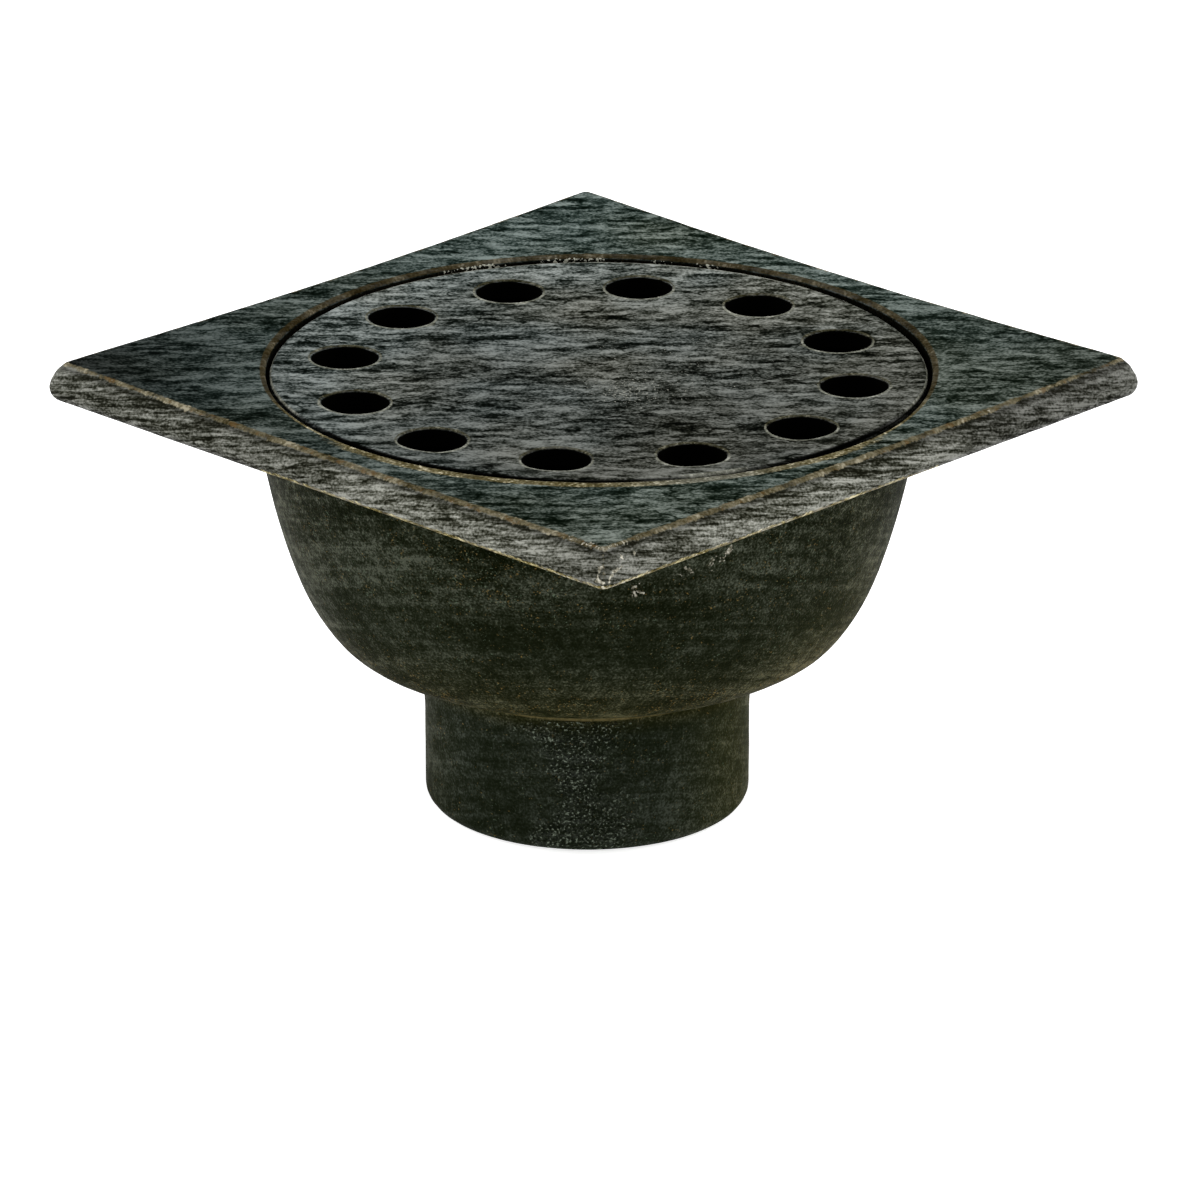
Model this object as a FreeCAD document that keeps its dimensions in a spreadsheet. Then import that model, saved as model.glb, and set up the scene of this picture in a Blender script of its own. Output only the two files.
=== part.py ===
import FreeCAD, Part
import math
import os
import Sketcher

# Bell trap floor drain, millimetres, +Z up.
# Origin: under the middle of the square flange, on the plane of the outlet
# spigot's lower end. The drain stands on that end.
# Two castings:
#   trap_body      square flange with a dished top, strainer seat, bowl,
#                  standpipe inside the bowl and outlet spigot below it
#   strainer_bell  round strainer with twelve holes and the bell under it
# The seat and the bowl are each a little off the flange's middle, in opposite
# directions, as the two halves of a sand mould leave them.

os.makedirs("parts", exist_ok=True)
doc = FreeCAD.newDocument("bell_trap_drain")

# ---------------------------------------------------------------- dimensions
CELLS = [
    ("total_high", 91.4),       # spigot end to the flange's corners
    ("flange_half", 76.2),      # half of the 152.4 square
    ("flange_corner", 5.2),     # corner radius in plan
    ("flange_deep", 8.0),       # flange thickness at the corners
    ("flange_nose_top", 4.9),   # rounding of the flange's edge, upper
    ("flange_nose_low", 3.0),   # and lower
    ("dish_far", 101.0),        # radius where the dished top starts
    ("dish_slope", 0.031),      # fall per mm towards the seat
    ("seat_dx", 0.5),
    ("seat_dy", 0.45),
    ("seat_rad", 65.45),        # wall round the strainer
    ("seat_deep", 6.8),         # ledge under the flange's corners
    ("rim_round", 0.9),         # rounded lip at the top of that wall
    ("bowl_dx", -0.9),
    ("bowl_dy", -0.87),
    ("wall_thick", 5.0),
    ("neck_fillet", 5.5),
    ("slope_side", 12.35),      # angles of the bowl's profile from upright
    ("slope_upper", 19.11),
    ("slope_lower", 37.69),
    ("slope_floor", 73.0),
    ("arc_upper", 139.022),
    ("arc_middle", 46.933),
    ("arc_lower", 15.3),
    ("side_rad", 65.11),        # bowl profile points, depth from the corners
    ("side_deep", 12.36),
    ("upper_rad", 62.379),
    ("upper_deep", 24.829),
    ("middle_rad", 57.934),
    ("middle_deep", 40.61),
    ("lower_rad", 50.725),
    ("lower_deep", 53.94),
    ("floor_rad", 43.092),
    ("floor_deep", 59.217),
    ("mouth_rad", 59.0),
    ("pipe_top_deep", 24.0),    # standpipe's rim, which sets the water level
    ("pipe_rad_top", 30.4),
    ("pipe_rad_low", 31.0),
    ("pipe_root", 4.0),
    ("pipe_lip", 1.5),
    ("bore_rad", 26.5),
    ("bore_break", 1.0),
    ("spigot_rad_top", 32.6),
    ("spigot_rad", 32.1),
    ("spigot_straight", 16.4),  # cylindrical length above the rounded end
    ("spigot_round", 3.0),
    ("spigot_root", 1.6),
    ("disc_dx", 0.5),
    ("disc_dy", 0.4),
    ("disc_rad", 64.4),
    ("disc_deep", 2.4),         # strainer's top under the flange's corners
    ("disc_thick", 4.4),
    ("disc_round", 0.8),
    ("disc_draft", 0.4),
    ("disc_break", 0.5),
    ("hole_ring", 50.46),
    ("hole_rad", 6.5),
    ("hole_turn", 4.84),        # first hole from +X
    ("hole_round", 0.5),
    ("hole_count", 12),
    ("bell_rad_top", 41.5),
    ("bell_rad_low", 41.0),
    ("bell_in_top", 37.2),
    ("bell_in_low", 37.8),
    ("bell_deep", 44.0),        # bell's lip, 20 under the standpipe's rim
    ("bell_lip", 1.2),
    ("bell_root_out", 2.0),
    ("bell_root_in", 4.0),
]
sheet = doc.addObject("Spreadsheet::Sheet", "dims")
for row, (alias, value) in enumerate(CELLS, start=1):
    sheet.set("A%d" % row, alias)
    sheet.set("B%d" % row, repr(value))
    sheet.setAlias("B%d" % row, alias)
doc.recompute()


class Size:
    """A number together with the sheet expression that gives it."""

    def __init__(self, value, text):
        self.value = float(value)
        self.text = text

    @staticmethod
    def of(x):
        return x if isinstance(x, Size) else Size(x, "%.10g" % x)

    def __add__(self, other):
        o = Size.of(other)
        return Size(self.value + o.value, "(%s + %s)" % (self.text, o.text))

    def __sub__(self, other):
        o = Size.of(other)
        return Size(self.value - o.value, "(%s - %s)" % (self.text, o.text))

    def __mul__(self, other):
        o = Size.of(other)
        return Size(self.value * o.value, "(%s * %s)" % (self.text, o.text))

    def __truediv__(self, other):
        o = Size.of(other)
        return Size(self.value / o.value, "(%s / %s)" % (self.text, o.text))

    def __neg__(self):
        return Size(-self.value, "(0 - %s)" % self.text)

    __radd__ = __add__
    __rmul__ = __mul__

    def __rsub__(self, other):
        return Size.of(other) - self


D = {alias: Size(value, "dims." + alias) for alias, value in CELLS}


def cos(angle):
    return Size(math.cos(math.radians(angle.value)), "cos(%s)" % angle.text)


def sin(angle):
    return Size(math.sin(math.radians(angle.value)), "sin(%s)" % angle.text)


def tan(angle):
    return Size(math.tan(math.radians(angle.value)), "tan(%s)" % angle.text)


def deep(x):
    """Height of a point that lies x below the flange's corners."""
    return D["total_high"] - x


# ------------------------------------------------------------------ sketches
def origin_plane(body, role):
    for feature in body.Origin.OriginFeatures:
        if feature.Role == role:
            return feature
    raise RuntimeError("no plane " + role)


def new_sketch(body, name, role, shift):
    """Sketch on an origin plane of its own body, shifted by sheet values."""
    sk = body.newObject("Sketcher::SketchObject", name)
    sk.AttachmentSupport = [(origin_plane(body, role), "")]
    sk.MapMode = "FlatFace"
    for axis, s in zip("xyz", shift):
        if s is not None:
            sk.setExpression("AttachmentOffset.Base." + axis, Size.of(s).text)
    doc.recompute()
    return sk


def pin_point(sk, geo, pos, x, y):
    """Fix one vertex of a sketch at x, y from the sketch's origin."""
    for kind, s in (("DistanceX", x), ("DistanceY", y)):
        s = Size.of(s)
        if abs(s.value) < 1e-9:
            axis = -2 if kind == "DistanceX" else -1
            sk.addConstraint(Sketcher.Constraint("PointOnObject", geo, pos, axis))
            continue
        if s.value > 0:
            c = Sketcher.Constraint(kind, -1, 1, geo, pos, s.value)
        else:
            s = -s
            c = Sketcher.Constraint(kind, geo, pos, -1, 1, s.value)
        n = sk.addConstraint(c)
        sk.setExpression("Constraints[%d]" % n, s.text)


def closed_profile(sk, points, edges):
    """points: (x, y) sizes in order. edges[i] joins point i to the next one:
    None for a line, or (radius, side) for an arc shorter than half a turn.
    side is +1 where the arc turns left on its way and -1 where it turns right."""
    pts = [(Size.of(x), Size.of(y)) for x, y in points]
    n = len(pts)
    start_pos, end_pos = [], []
    for i in range(n):
        a = FreeCAD.Vector(pts[i][0].value, pts[i][1].value, 0)
        b = FreeCAD.Vector(pts[(i + 1) % n][0].value, pts[(i + 1) % n][1].value, 0)
        if edges[i] is None:
            sk.addGeometry(Part.LineSegment(a, b), False)
            start_pos.append(1)
            end_pos.append(2)
            continue
        radius, side = edges[i]
        r = Size.of(radius).value
        chord = b - a
        half = chord.Length / 2.0
        rise = math.sqrt(max(r * r - half * half, 0.0))
        left = FreeCAD.Vector(-chord.y, chord.x, 0)
        left.normalize()
        centre = (a + b) * 0.5 + left * (rise * side)
        ta = math.atan2(a.y - centre.y, a.x - centre.x)
        tb = math.atan2(b.y - centre.y, b.x - centre.x)
        circle = Part.Circle(centre, FreeCAD.Vector(0, 0, 1), r)
        if side > 0:
            sk.addGeometry(Part.ArcOfCircle(circle, ta, tb if tb > ta else tb + 2 * math.pi), False)
            start_pos.append(1)
            end_pos.append(2)
        else:
            sk.addGeometry(Part.ArcOfCircle(circle, tb, ta if ta > tb else ta + 2 * math.pi), False)
            start_pos.append(2)
            end_pos.append(1)
    for i in range(n):
        j = (i + 1) % n
        sk.addConstraint(Sketcher.Constraint("Coincident", i, end_pos[i], j, start_pos[j]))
    for i in range(n):
        pin_point(sk, i, start_pos[i], pts[i][0], pts[i][1])
    for i in range(n):
        if edges[i] is not None:
            s = Size.of(edges[i][0])
            k = sk.addConstraint(Sketcher.Constraint("Radius", i, s.value))
            sk.setExpression("Constraints[%d]" % k, s.text)
    doc.recompute()


def turned(body, kind, name, sk):
    f = body.newObject("PartDesign::" + kind, name)
    f.Profile = sk
    f.ReferenceAxis = (sk, ["V_Axis"])
    f.Angle = 360.0
    sk.Visibility = False
    doc.recompute()
    return f


def cut_volume(before, feature, name):
    after = feature.Shape.Volume
    if not after < before - 1.0:
        raise RuntimeError(name + " cut nothing")
    return after


# ------------------------------------------------------------------ the body
body = doc.addObject("PartDesign::Body", "trap_body")
body.Label = "trap_body"

# square flange, rounded corners
sk = new_sketch(body, "flange_outline", "XY_Plane",
                (None, None, D["total_high"] - D["flange_deep"]))
a = D["flange_half"]
c = D["flange_half"] - D["flange_corner"]
closed_profile(
    sk,
    [(-c, -a), (c, -a), (a, -c), (a, c), (c, a), (-c, a), (-a, c), (-a, -c)],
    [None, (D["flange_corner"], 1)] * 4)
flange = body.newObject("PartDesign::Pad", "flange")
flange.Profile = sk
flange.setExpression("Length", "dims.flange_deep")
doc.recompute()


def edges_at_height(shape, height):
    names = []
    for i, e in enumerate(shape.Edges, start=1):
        if all(abs(v.Point.z - height) < 1e-4 for v in e.Vertexes) and abs(e.BoundBox.ZLength) < 1e-4:
            names.append("Edge%d" % i)
    return names


# rounded edge of the flange, fuller at the top than underneath
top_z = D["total_high"].value
under_z = top_z - D["flange_deep"].value
nose_top = body.newObject("PartDesign::Fillet", "flange_nose_top")
nose_top.Base = (flange, edges_at_height(flange.Shape, top_z))
nose_top.setExpression("Radius", "dims.flange_nose_top")
doc.recompute()
nose_low = body.newObject("PartDesign::Fillet", "flange_nose_low")
nose_low.Base = (nose_top, edges_at_height(nose_top.Shape, under_z))
nose_low.setExpression("Radius", "dims.flange_nose_low")
doc.recompute()
volume = nose_low.Shape.Volume

# top falls slightly from the corners to the strainer seat
sk = new_sketch(body, "dish_profile", "XZ_Plane", (D["seat_dx"], None, -D["seat_dy"]))
far = D["dish_far"] + 12
closed_profile(
    sk,
    [(0, D["total_high"] - D["dish_slope"] * D["dish_far"]),
     (far, D["total_high"] + D["dish_slope"] * (far - D["dish_far"])),
     (far, D["total_high"] + 6),
     (0, D["total_high"] + 6)],
    [None] * 4)
dish = turned(body, "Groove", "dished_top", sk)
volume = cut_volume(volume, dish, "dish")

# outside of bowl and spigot, with a fillet under the flange
w = D["wall_thick"]
shift_bowl = (D["bowl_dx"], None, -D["bowl_dy"])
sk = new_sketch(body, "bowl_outside", "XZ_Plane", shift_bowl)
fil = D["neck_fillet"]
# centre of the neck fillet: under the flange by its radius, and its radius
# away from the bowl's side line
cen_deep = D["flange_deep"] + fil
cen_rad = D["side_rad"] + (fil - (cen_deep - D["side_deep"]) * sin(D["slope_side"])) / cos(D["slope_side"])
neck_rad = cen_rad - fil * cos(D["slope_side"])
neck_deep = cen_deep - fil * sin(D["slope_side"])
# fillet between the bowl's bottom, which rises outwards, and the spigot
rise = tan(90 - D["slope_floor"])
root = D["spigot_root"]
root_cen_rad = D["spigot_rad_top"] + root
bottom_at_root = D["floor_deep"] + (D["floor_rad"] - root_cen_rad) * rise
root_cen_deep = bottom_at_root + root / cos(90 - D["slope_floor"])
root_rad = root_cen_rad + root * sin(90 - D["slope_floor"]) * -1
root_deep = root_cen_deep - root * cos(90 - D["slope_floor"])
spigot_top = D["total_high"] - D["spigot_round"] - D["spigot_straight"]
closed_profile(
    sk,
    [(0, deep(D["flange_deep"] - 1)),
     (cen_rad, deep(D["flange_deep"] - 1)),
     (cen_rad, deep(D["flange_deep"])),
     (neck_rad, deep(neck_deep)),
     (D["upper_rad"], deep(D["upper_deep"])),
     (D["middle_rad"], deep(D["middle_deep"])),
     (D["lower_rad"], deep(D["lower_deep"])),
     (D["floor_rad"], deep(D["floor_deep"])),
     (root_rad, deep(root_deep)),
     (D["spigot_rad_top"], deep(root_cen_deep)),
     (D["spigot_rad"], deep(spigot_top)),
     (D["spigot_rad"], D["spigot_round"]),
     (D["spigot_rad"] - D["spigot_round"], 0),
     (0, 0)],
    [None, None, (fil, 1), None,
     (D["arc_upper"], -1), (D["arc_middle"], -1), (D["arc_lower"], -1),
     None, (root, 1), None, None, (D["spigot_round"], -1), None, None])
bowl = turned(body, "Revolution", "bowl_and_spigot", sk)

# inside: mouth, trough round the standpipe, waterway through the spigot
volume = bowl.Shape.Volume
sk = new_sketch(body, "bowl_inside", "XZ_Plane", shift_bowl)


def inset(rad, dep, slope):
    return rad - w * cos(slope), dep - w * sin(slope)


up_r, up_d = inset(D["upper_rad"], D["upper_deep"], D["slope_side"])
mi_r, mi_d = inset(D["middle_rad"], D["middle_deep"], D["slope_upper"])
lo_r, lo_d = inset(D["lower_rad"], D["lower_deep"], D["slope_lower"])
fl_r, fl_d = inset(D["floor_rad"], D["floor_deep"], D["slope_floor"])
mouth_deep = up_d - (D["mouth_rad"] - up_r) / tan(D["slope_side"])
# fillet at the standpipe's root
pr = D["pipe_root"]
pr_cen_rad = D["pipe_rad_low"] + pr
pr_cen_deep = fl_d + (fl_r - pr_cen_rad) * rise - pr / cos(90 - D["slope_floor"])
pr_r = pr_cen_rad - pr * sin(90 - D["slope_floor"])
pr_d = pr_cen_deep + pr * cos(90 - D["slope_floor"])
lip = D["pipe_lip"]
closed_profile(
    sk,
    [(0, deep(D["seat_deep"] - 1)),
     (0, -1.5),
     (D["bore_rad"] + D["bore_break"], -1.5),
     (D["bore_rad"] + D["bore_break"], 0),
     (D["bore_rad"], D["bore_break"]),
     (D["bore_rad"], deep(D["pipe_top_deep"] + lip)),
     (D["bore_rad"] + lip, deep(D["pipe_top_deep"])),
     (D["pipe_rad_top"] - lip, deep(D["pipe_top_deep"])),
     (D["pipe_rad_top"], deep(D["pipe_top_deep"] + lip)),
     (D["pipe_rad_low"], deep(pr_cen_deep)),
     (pr_r, deep(pr_d)),
     (fl_r, deep(fl_d)),
     (lo_r, deep(lo_d)),
     (mi_r, deep(mi_d)),
     (up_r, deep(up_d)),
     (D["mouth_rad"], deep(mouth_deep)),
     (D["mouth_rad"], deep(D["seat_deep"] - 1))],
    [None, None, None, None, None,
     (lip, -1), None, (lip, -1), None, (pr, 1), None,
     (D["arc_lower"] - w, 1), (D["arc_middle"] - w, 1), (D["arc_upper"] - w, 1),
     None, None, None])
hollow = turned(body, "Groove", "bowl_hollow", sk)
volume = cut_volume(volume, hollow, "hollow")

# seat for the strainer, with a rounded lip
sk = new_sketch(body, "seat_profile", "XZ_Plane", (D["seat_dx"], None, -D["seat_dy"]))
rr = D["rim_round"]
rim_deep = D["dish_slope"] * (D["dish_far"] - D["seat_rad"])
closed_profile(
    sk,
    [(0, deep(D["seat_deep"])),
     (D["seat_rad"], deep(D["seat_deep"])),
     (D["seat_rad"], deep(rim_deep + rr)),
     (D["seat_rad"] + rr, deep(rim_deep)),
     (D["seat_rad"] + rr, D["total_high"] + 6),
     (0, D["total_high"] + 6)],
    [None, None, (rr, -1), None, None, None])
seat = turned(body, "Groove", "strainer_seat", sk)
volume = cut_volume(volume, seat, "seat")
body.Tip = seat
body.Placement = FreeCAD.Placement(FreeCAD.Vector(0, 0, 0), FreeCAD.Rotation())
doc.recompute()

# -------------------------------------------------------------- the strainer
disc = doc.addObject("PartDesign::Body", "strainer_bell")
disc.Label = "strainer_bell"
sk = new_sketch(disc, "disc_and_bell", "XZ_Plane", (D["disc_dx"], None, -D["disc_dy"]))
dr = D["disc_round"]
db = D["disc_break"]
under = D["disc_deep"] + D["disc_thick"]
ro = D["bell_root_out"]
ri = D["bell_root_in"]
bl = D["bell_lip"]
closed_profile(
    sk,
    [(0, deep(D["disc_deep"])),
     (0, deep(under)),
     (D["bell_in_top"] - ri, deep(under)),
     (D["bell_in_top"], deep(under + ri)),
     (D["bell_in_low"], deep(D["bell_deep"] - bl)),
     (D["bell_in_low"] + bl, deep(D["bell_deep"])),
     (D["bell_rad_low"] - bl, deep(D["bell_deep"])),
     (D["bell_rad_low"], deep(D["bell_deep"] - bl)),
     (D["bell_rad_top"], deep(under + ro)),
     (D["bell_rad_top"] + ro, deep(under)),
     (D["disc_rad"] - D["disc_draft"] - db, deep(under)),
     (D["disc_rad"] - D["disc_draft"], deep(under - db)),
     (D["disc_rad"], deep(D["disc_deep"] + dr)),
     (D["disc_rad"] - dr, deep(D["disc_deep"]))],
    [None, None, (ri, -1), None, (bl, 1), None, (bl, 1), None, (ro, -1),
     None, (db, 1), None, (dr, 1), None])
plate = turned(disc, "Revolution", "disc_with_bell", sk)

# one drain hole, then the ring of twelve about the strainer's own axis
volume = plate.Shape.Volume
sk = new_sketch(disc, "hole_outline", "XY_Plane",
                (D["disc_dx"], D["disc_dy"], deep(D["disc_deep"])))
g = sk.addGeometry(Part.Circle(
    FreeCAD.Vector(D["hole_ring"].value * math.cos(math.radians(D["hole_turn"].value)),
                   D["hole_ring"].value * math.sin(math.radians(D["hole_turn"].value)), 0),
    FreeCAD.Vector(0, 0, 1), D["hole_rad"].value), False)
pin_point(sk, g, 3, D["hole_ring"] * cos(D["hole_turn"]), D["hole_ring"] * sin(D["hole_turn"]))
k = sk.addConstraint(Sketcher.Constraint("Radius", g, D["hole_rad"].value))
sk.setExpression("Constraints[%d]" % k, D["hole_rad"].text)
doc.recompute()
hole = disc.newObject("PartDesign::Pocket", "drain_hole")
hole.Profile = sk
hole.setExpression("Length", "dims.disc_thick + 1")
doc.recompute()
cut_volume(volume, hole, "hole")
ring = disc.newObject("PartDesign::PolarPattern", "ring_of_holes")
ring.Originals = [hole]
ring.Axis = (sk, ["N_Axis"])
ring.Angle = 360.0
ring.setExpression("Occurrences", "dims.hole_count")
disc.Tip = ring
doc.recompute()
cut_volume(hole.Shape.Volume, ring, "ring of holes")

# worn, rounded edge round each hole's mouth
face_z = top_z - D["disc_deep"].value
mouths = []
for i, e in enumerate(ring.Shape.Edges, start=1):
    if e.Curve.TypeId == "Part::GeomCircle" and abs(e.Curve.Radius - D["hole_rad"].value) < 1e-3 \
            and abs(e.Curve.Center.z - face_z) < 1e-3:
        mouths.append("Edge%d" % i)
soft = disc.newObject("PartDesign::Fillet", "hole_mouths")
soft.Base = (ring, mouths)
soft.setExpression("Radius", "dims.hole_round")
disc.Tip = soft
disc.Placement = FreeCAD.Placement(FreeCAD.Vector(0, 0, 0), FreeCAD.Rotation())
doc.recompute()

# ------------------------------------------------------------------- checks
for obj in doc.Objects:
    state = [str(s) for s in obj.State]
    if "Invalid" in state or "Error" in state:
        raise RuntimeError("%s is in state %s" % (obj.Name, state))
for piece in (body, disc):
    if piece.Shape.isNull() or not piece.Shape.isValid():
        raise RuntimeError(piece.Label + " has no valid shape")
    if len(piece.Shape.Solids) != 1:
        raise RuntimeError("%s has %d solids" % (piece.Label, len(piece.Shape.Solids)))

for piece in (body, disc):
    box = piece.Shape.BoundBox
    print("%-14s volume %.0f mm3, mass %.3f kg in grey iron, box %.2f..%.2f  %.2f..%.2f  %.2f..%.2f" % (
        piece.Label, piece.Shape.Volume, piece.Shape.Volume * 7.2e-6,
        box.XMin, box.XMax, box.YMin, box.YMax, box.ZMin, box.ZMax))
    piece.Shape.exportStep("parts/%s.step" % piece.Label)
print("mouth edges", len(mouths), "neck", round(neck_rad.value, 3), round(neck_deep.value, 3),
      "root", round(root_rad.value, 3), round(root_deep.value, 3), "mouth depth", round(mouth_deep.value, 3))
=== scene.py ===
import bpy
import math
import numpy as np
from mathutils import Matrix, Vector


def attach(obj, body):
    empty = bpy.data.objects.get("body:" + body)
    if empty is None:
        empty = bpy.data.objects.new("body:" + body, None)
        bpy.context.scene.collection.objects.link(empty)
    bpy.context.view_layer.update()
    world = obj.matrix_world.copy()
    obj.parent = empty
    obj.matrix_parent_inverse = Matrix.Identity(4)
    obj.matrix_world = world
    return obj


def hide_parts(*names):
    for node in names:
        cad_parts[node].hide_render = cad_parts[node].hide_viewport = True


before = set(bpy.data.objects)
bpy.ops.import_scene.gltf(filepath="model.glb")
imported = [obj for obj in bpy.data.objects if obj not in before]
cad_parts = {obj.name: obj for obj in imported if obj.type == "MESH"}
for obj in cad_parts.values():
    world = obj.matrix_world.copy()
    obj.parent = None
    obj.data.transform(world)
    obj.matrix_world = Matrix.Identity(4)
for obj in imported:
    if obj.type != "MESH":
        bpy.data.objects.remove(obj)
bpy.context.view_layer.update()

# Bell trap floor drain. Meshes are made in millimetres, +Z up, in the frame of
# the CAD model, and scaled to metres at the end.
MM = 0.001
TOP = 91.4                  # height of the flange's corners
HALF = 76.2                 # half of the flange's side
SEAT = (0.5, 0.45)          # middle of the strainer's seat
BOWL = (-0.9, -0.87)        # axis of bowl, standpipe and spigot
DISC = (0.5, 0.4)           # middle of the strainer
DISH_FAR, DISH = 101.0, 0.031

# the long way of the streaks in the coating, and the two directions across it
STREAK_TURN = math.radians(44.04)
STREAK_TILT = math.radians(19.65)


# ------------------------------------------------------------------- camera
def make_camera():
    az, el, roll = 0.7686278, 0.3429107, 0.0014071
    dist, focal = 1.85148, 9470.896          # metres, and pixels of a 1200 wide frame
    u0, v0 = 594.089, 359.528                # where the middle of the top lands
    target = np.array([0.0, 0.0, TOP * MM])
    back = np.array([math.sin(az) * math.cos(el), -math.cos(az) * math.cos(el), math.sin(el)])
    place = target + back * dist
    fwd = -back
    right = np.array([math.cos(az), math.sin(az), 0.0])
    up = np.cross(right, fwd)
    r = math.cos(roll) * right + math.sin(roll) * up
    u = -math.sin(roll) * right + math.cos(roll) * up
    t = np.array([(u0 - 600) / focal, -(v0 - 600) / focal, 1.0])
    t /= np.linalg.norm(t)
    v = np.cross(t, (0.0, 0.0, 1.0))
    s, c = np.linalg.norm(v), t[2]
    vx = np.array([[0, -v[2], v[1]], [v[2], 0, -v[0]], [-v[1], v[0], 0]])
    turn = np.eye(3) + vx + vx @ vx * ((1 - c) / s ** 2)
    b = np.stack([r, u, fwd], 1) @ turn
    data = bpy.data.cameras.new("camera")
    data.sensor_fit = "HORIZONTAL"
    data.sensor_width = 36.0
    data.lens = focal / 1200 * 36.0
    data.clip_start, data.clip_end = 0.05, 50.0
    cam = bpy.data.objects.new("camera", data)
    bpy.context.scene.collection.objects.link(cam)
    cam.matrix_world = Matrix([
        [b[0, 0], b[0, 1], -b[0, 2], place[0]],
        [b[1, 0], b[1, 1], -b[1, 2], place[1]],
        [b[2, 0], b[2, 1], -b[2, 2], place[2]],
        [0, 0, 0, 1]])
    bpy.context.scene.camera = cam


make_camera()


# -------------------------------------------------------------------- noise
def lattice(i, j, k, seed):
    with np.errstate(over="ignore"):
        h = (i.astype(np.uint32) * np.uint32(374761393)
             + j.astype(np.uint32) * np.uint32(668265263)
             + k.astype(np.uint32) * np.uint32(2246822519)
             + np.array(seed * 3266489 + 17, np.uint32))
        h = (h ^ (h >> np.uint32(13))) * np.uint32(1274126177)
        h = (h ^ (h >> np.uint32(15))) * np.uint32(2654435761)
        h = h ^ (h >> np.uint32(16))
    return h.astype(np.float64) / 4294967295.0


def noise(p, size, seed=0):
    """Smooth value noise from -1 to 1 at points p, with features of that size."""
    q = np.asarray(p, float) / np.asarray(size, float) + 1000.0
    i = np.floor(q).astype(np.int64)
    f = q - i
    w = f * f * f * (f * (f * 6 - 15) + 10)
    out = np.zeros(len(q))
    for dx in (0, 1):
        for dy in (0, 1):
            for dz in (0, 1):
                c = lattice(i[:, 0] + dx, i[:, 1] + dy, i[:, 2] + dz, seed)
                out += (c * (w[:, 0] if dx else 1 - w[:, 0])
                        * (w[:, 1] if dy else 1 - w[:, 1])
                        * (w[:, 2] if dz else 1 - w[:, 2]))
    return out * 2 - 1


def fractal(p, size, seed=0, octaves=3, gain=0.5):
    out, a, total = 0.0, 1.0, 0.0
    for n in range(octaves):
        out = out + a * noise(p, size / 2.0 ** n, seed + 31 * n)
        total += a
        a *= gain
    return out / total


def smooth(x, lo, hi):
    t = np.clip((x - lo) / (hi - lo), 0, 1)
    return t * t * (3 - 2 * t)


def bell_curve(x, middle, wide):
    return np.exp(-((x - middle) / wide) ** 2)


# ------------------------------------------------------------------ profiles
def arc(cx, cz, r, a0, a1, n):
    a = np.radians(np.linspace(a0, a1, n + 1))
    return [(cx + r * math.cos(t), cz + r * math.sin(t)) for t in a]


def line(p, q, n):
    return [(p[0] + (q[0] - p[0]) * t, p[1] + (q[1] - p[1]) * t) for t in np.linspace(0, 1, n + 1)]


def chain(*runs):
    """Runs of points joined end to end, without the doubled points."""
    out = []
    for run in runs:
        for p in run:
            if not out or math.hypot(p[0] - out[-1][0], p[1] - out[-1][1]) > 0.02:
                out.append(p)
    return out


def rounded(vertices, steps):
    """vertices: (x, y, radius); the corners are rounded with that many steps,
    and the runs between them are cut into the number given in steps."""
    v = [np.array(a[:2], float) for a in vertices]
    out = [tuple(v[0])]
    last = v[0]
    for n in range(1, len(v) - 1):
        radius, cuts = vertices[n][2], vertices[n][3]
        a, b = v[n - 1] - v[n], v[n + 1] - v[n]
        a /= np.linalg.norm(a)
        b /= np.linalg.norm(b)
        half = math.acos(np.clip(a @ b, -1, 1)) / 2
        back = radius / math.tan(half)
        start, end = v[n] + a * back, v[n] + b * back
        bis = (a + b) / np.linalg.norm(a + b)
        centre = v[n] + bis * radius / math.sin(half)
        out += line(last, start, steps[n - 1])[1:]
        a0 = math.atan2(*(start - centre)[::-1])
        a1 = math.atan2(*(end - centre)[::-1])
        if a1 - a0 > math.pi:
            a1 -= 2 * math.pi
        if a0 - a1 > math.pi:
            a1 += 2 * math.pi
        out += arc(centre[0], centre[1], radius, math.degrees(a0), math.degrees(a1), cuts)[1:]
        last = end
    out += line(last, v[-1], steps[-1])[1:]
    return [tuple(float(c) for c in p) for p in out]


def dish(x, y):
    """Fall of the flange's top under its corners."""
    far = DISH_FAR - np.hypot(x - SEAT[0], y - SEAT[1])
    return -DISH * 0.5 * (far + np.sqrt(far * far + 9.0)) + DISH * 0.02


# ---------------------------------------------------------------- body mesh
N_CORNER, N_SIDE = 15, 121
N_QUARTER = N_CORNER + N_SIDE
N_ROUND = 4 * N_QUARTER


def square(half, corner, bow=0.0):
    """Points of a rounded square, whose sides are bowed inwards by bow."""
    out = np.zeros((N_ROUND, 2))
    flat = half - corner
    for k in range(4):
        turn = math.radians(90.0 * k)
        c, s = math.cos(turn), math.sin(turn)
        for j in range(N_QUARTER):
            if j < N_CORNER:
                a = math.radians(-90.0 + 90.0 * j / (N_CORNER - 1))
                p = (flat + corner * math.cos(a), -flat + corner * math.sin(a))
            else:
                t = (j - N_CORNER + 1) / (N_SIDE + 1)
                y = -flat + 2 * flat * t
                p = (half - bow * (1 - (y / flat) ** 2), y)
            out[k * N_QUARTER + j] = (c * p[0] - s * p[1], s * p[0] + c * p[1])
    return out


_ref = square(74.0, 3.0)
_natural = np.unwrap(np.arctan2(_ref[:, 1], _ref[:, 0]))
_even = math.radians(-45) + 2 * math.pi * (np.arange(N_ROUND) - (N_CORNER - 1) / 2) / N_ROUND
_natural += round((_even[0] - _natural[0]) / (2 * math.pi)) * 2 * math.pi
RING_ANGLE = 0.45 * _natural + 0.55 * _even


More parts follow.
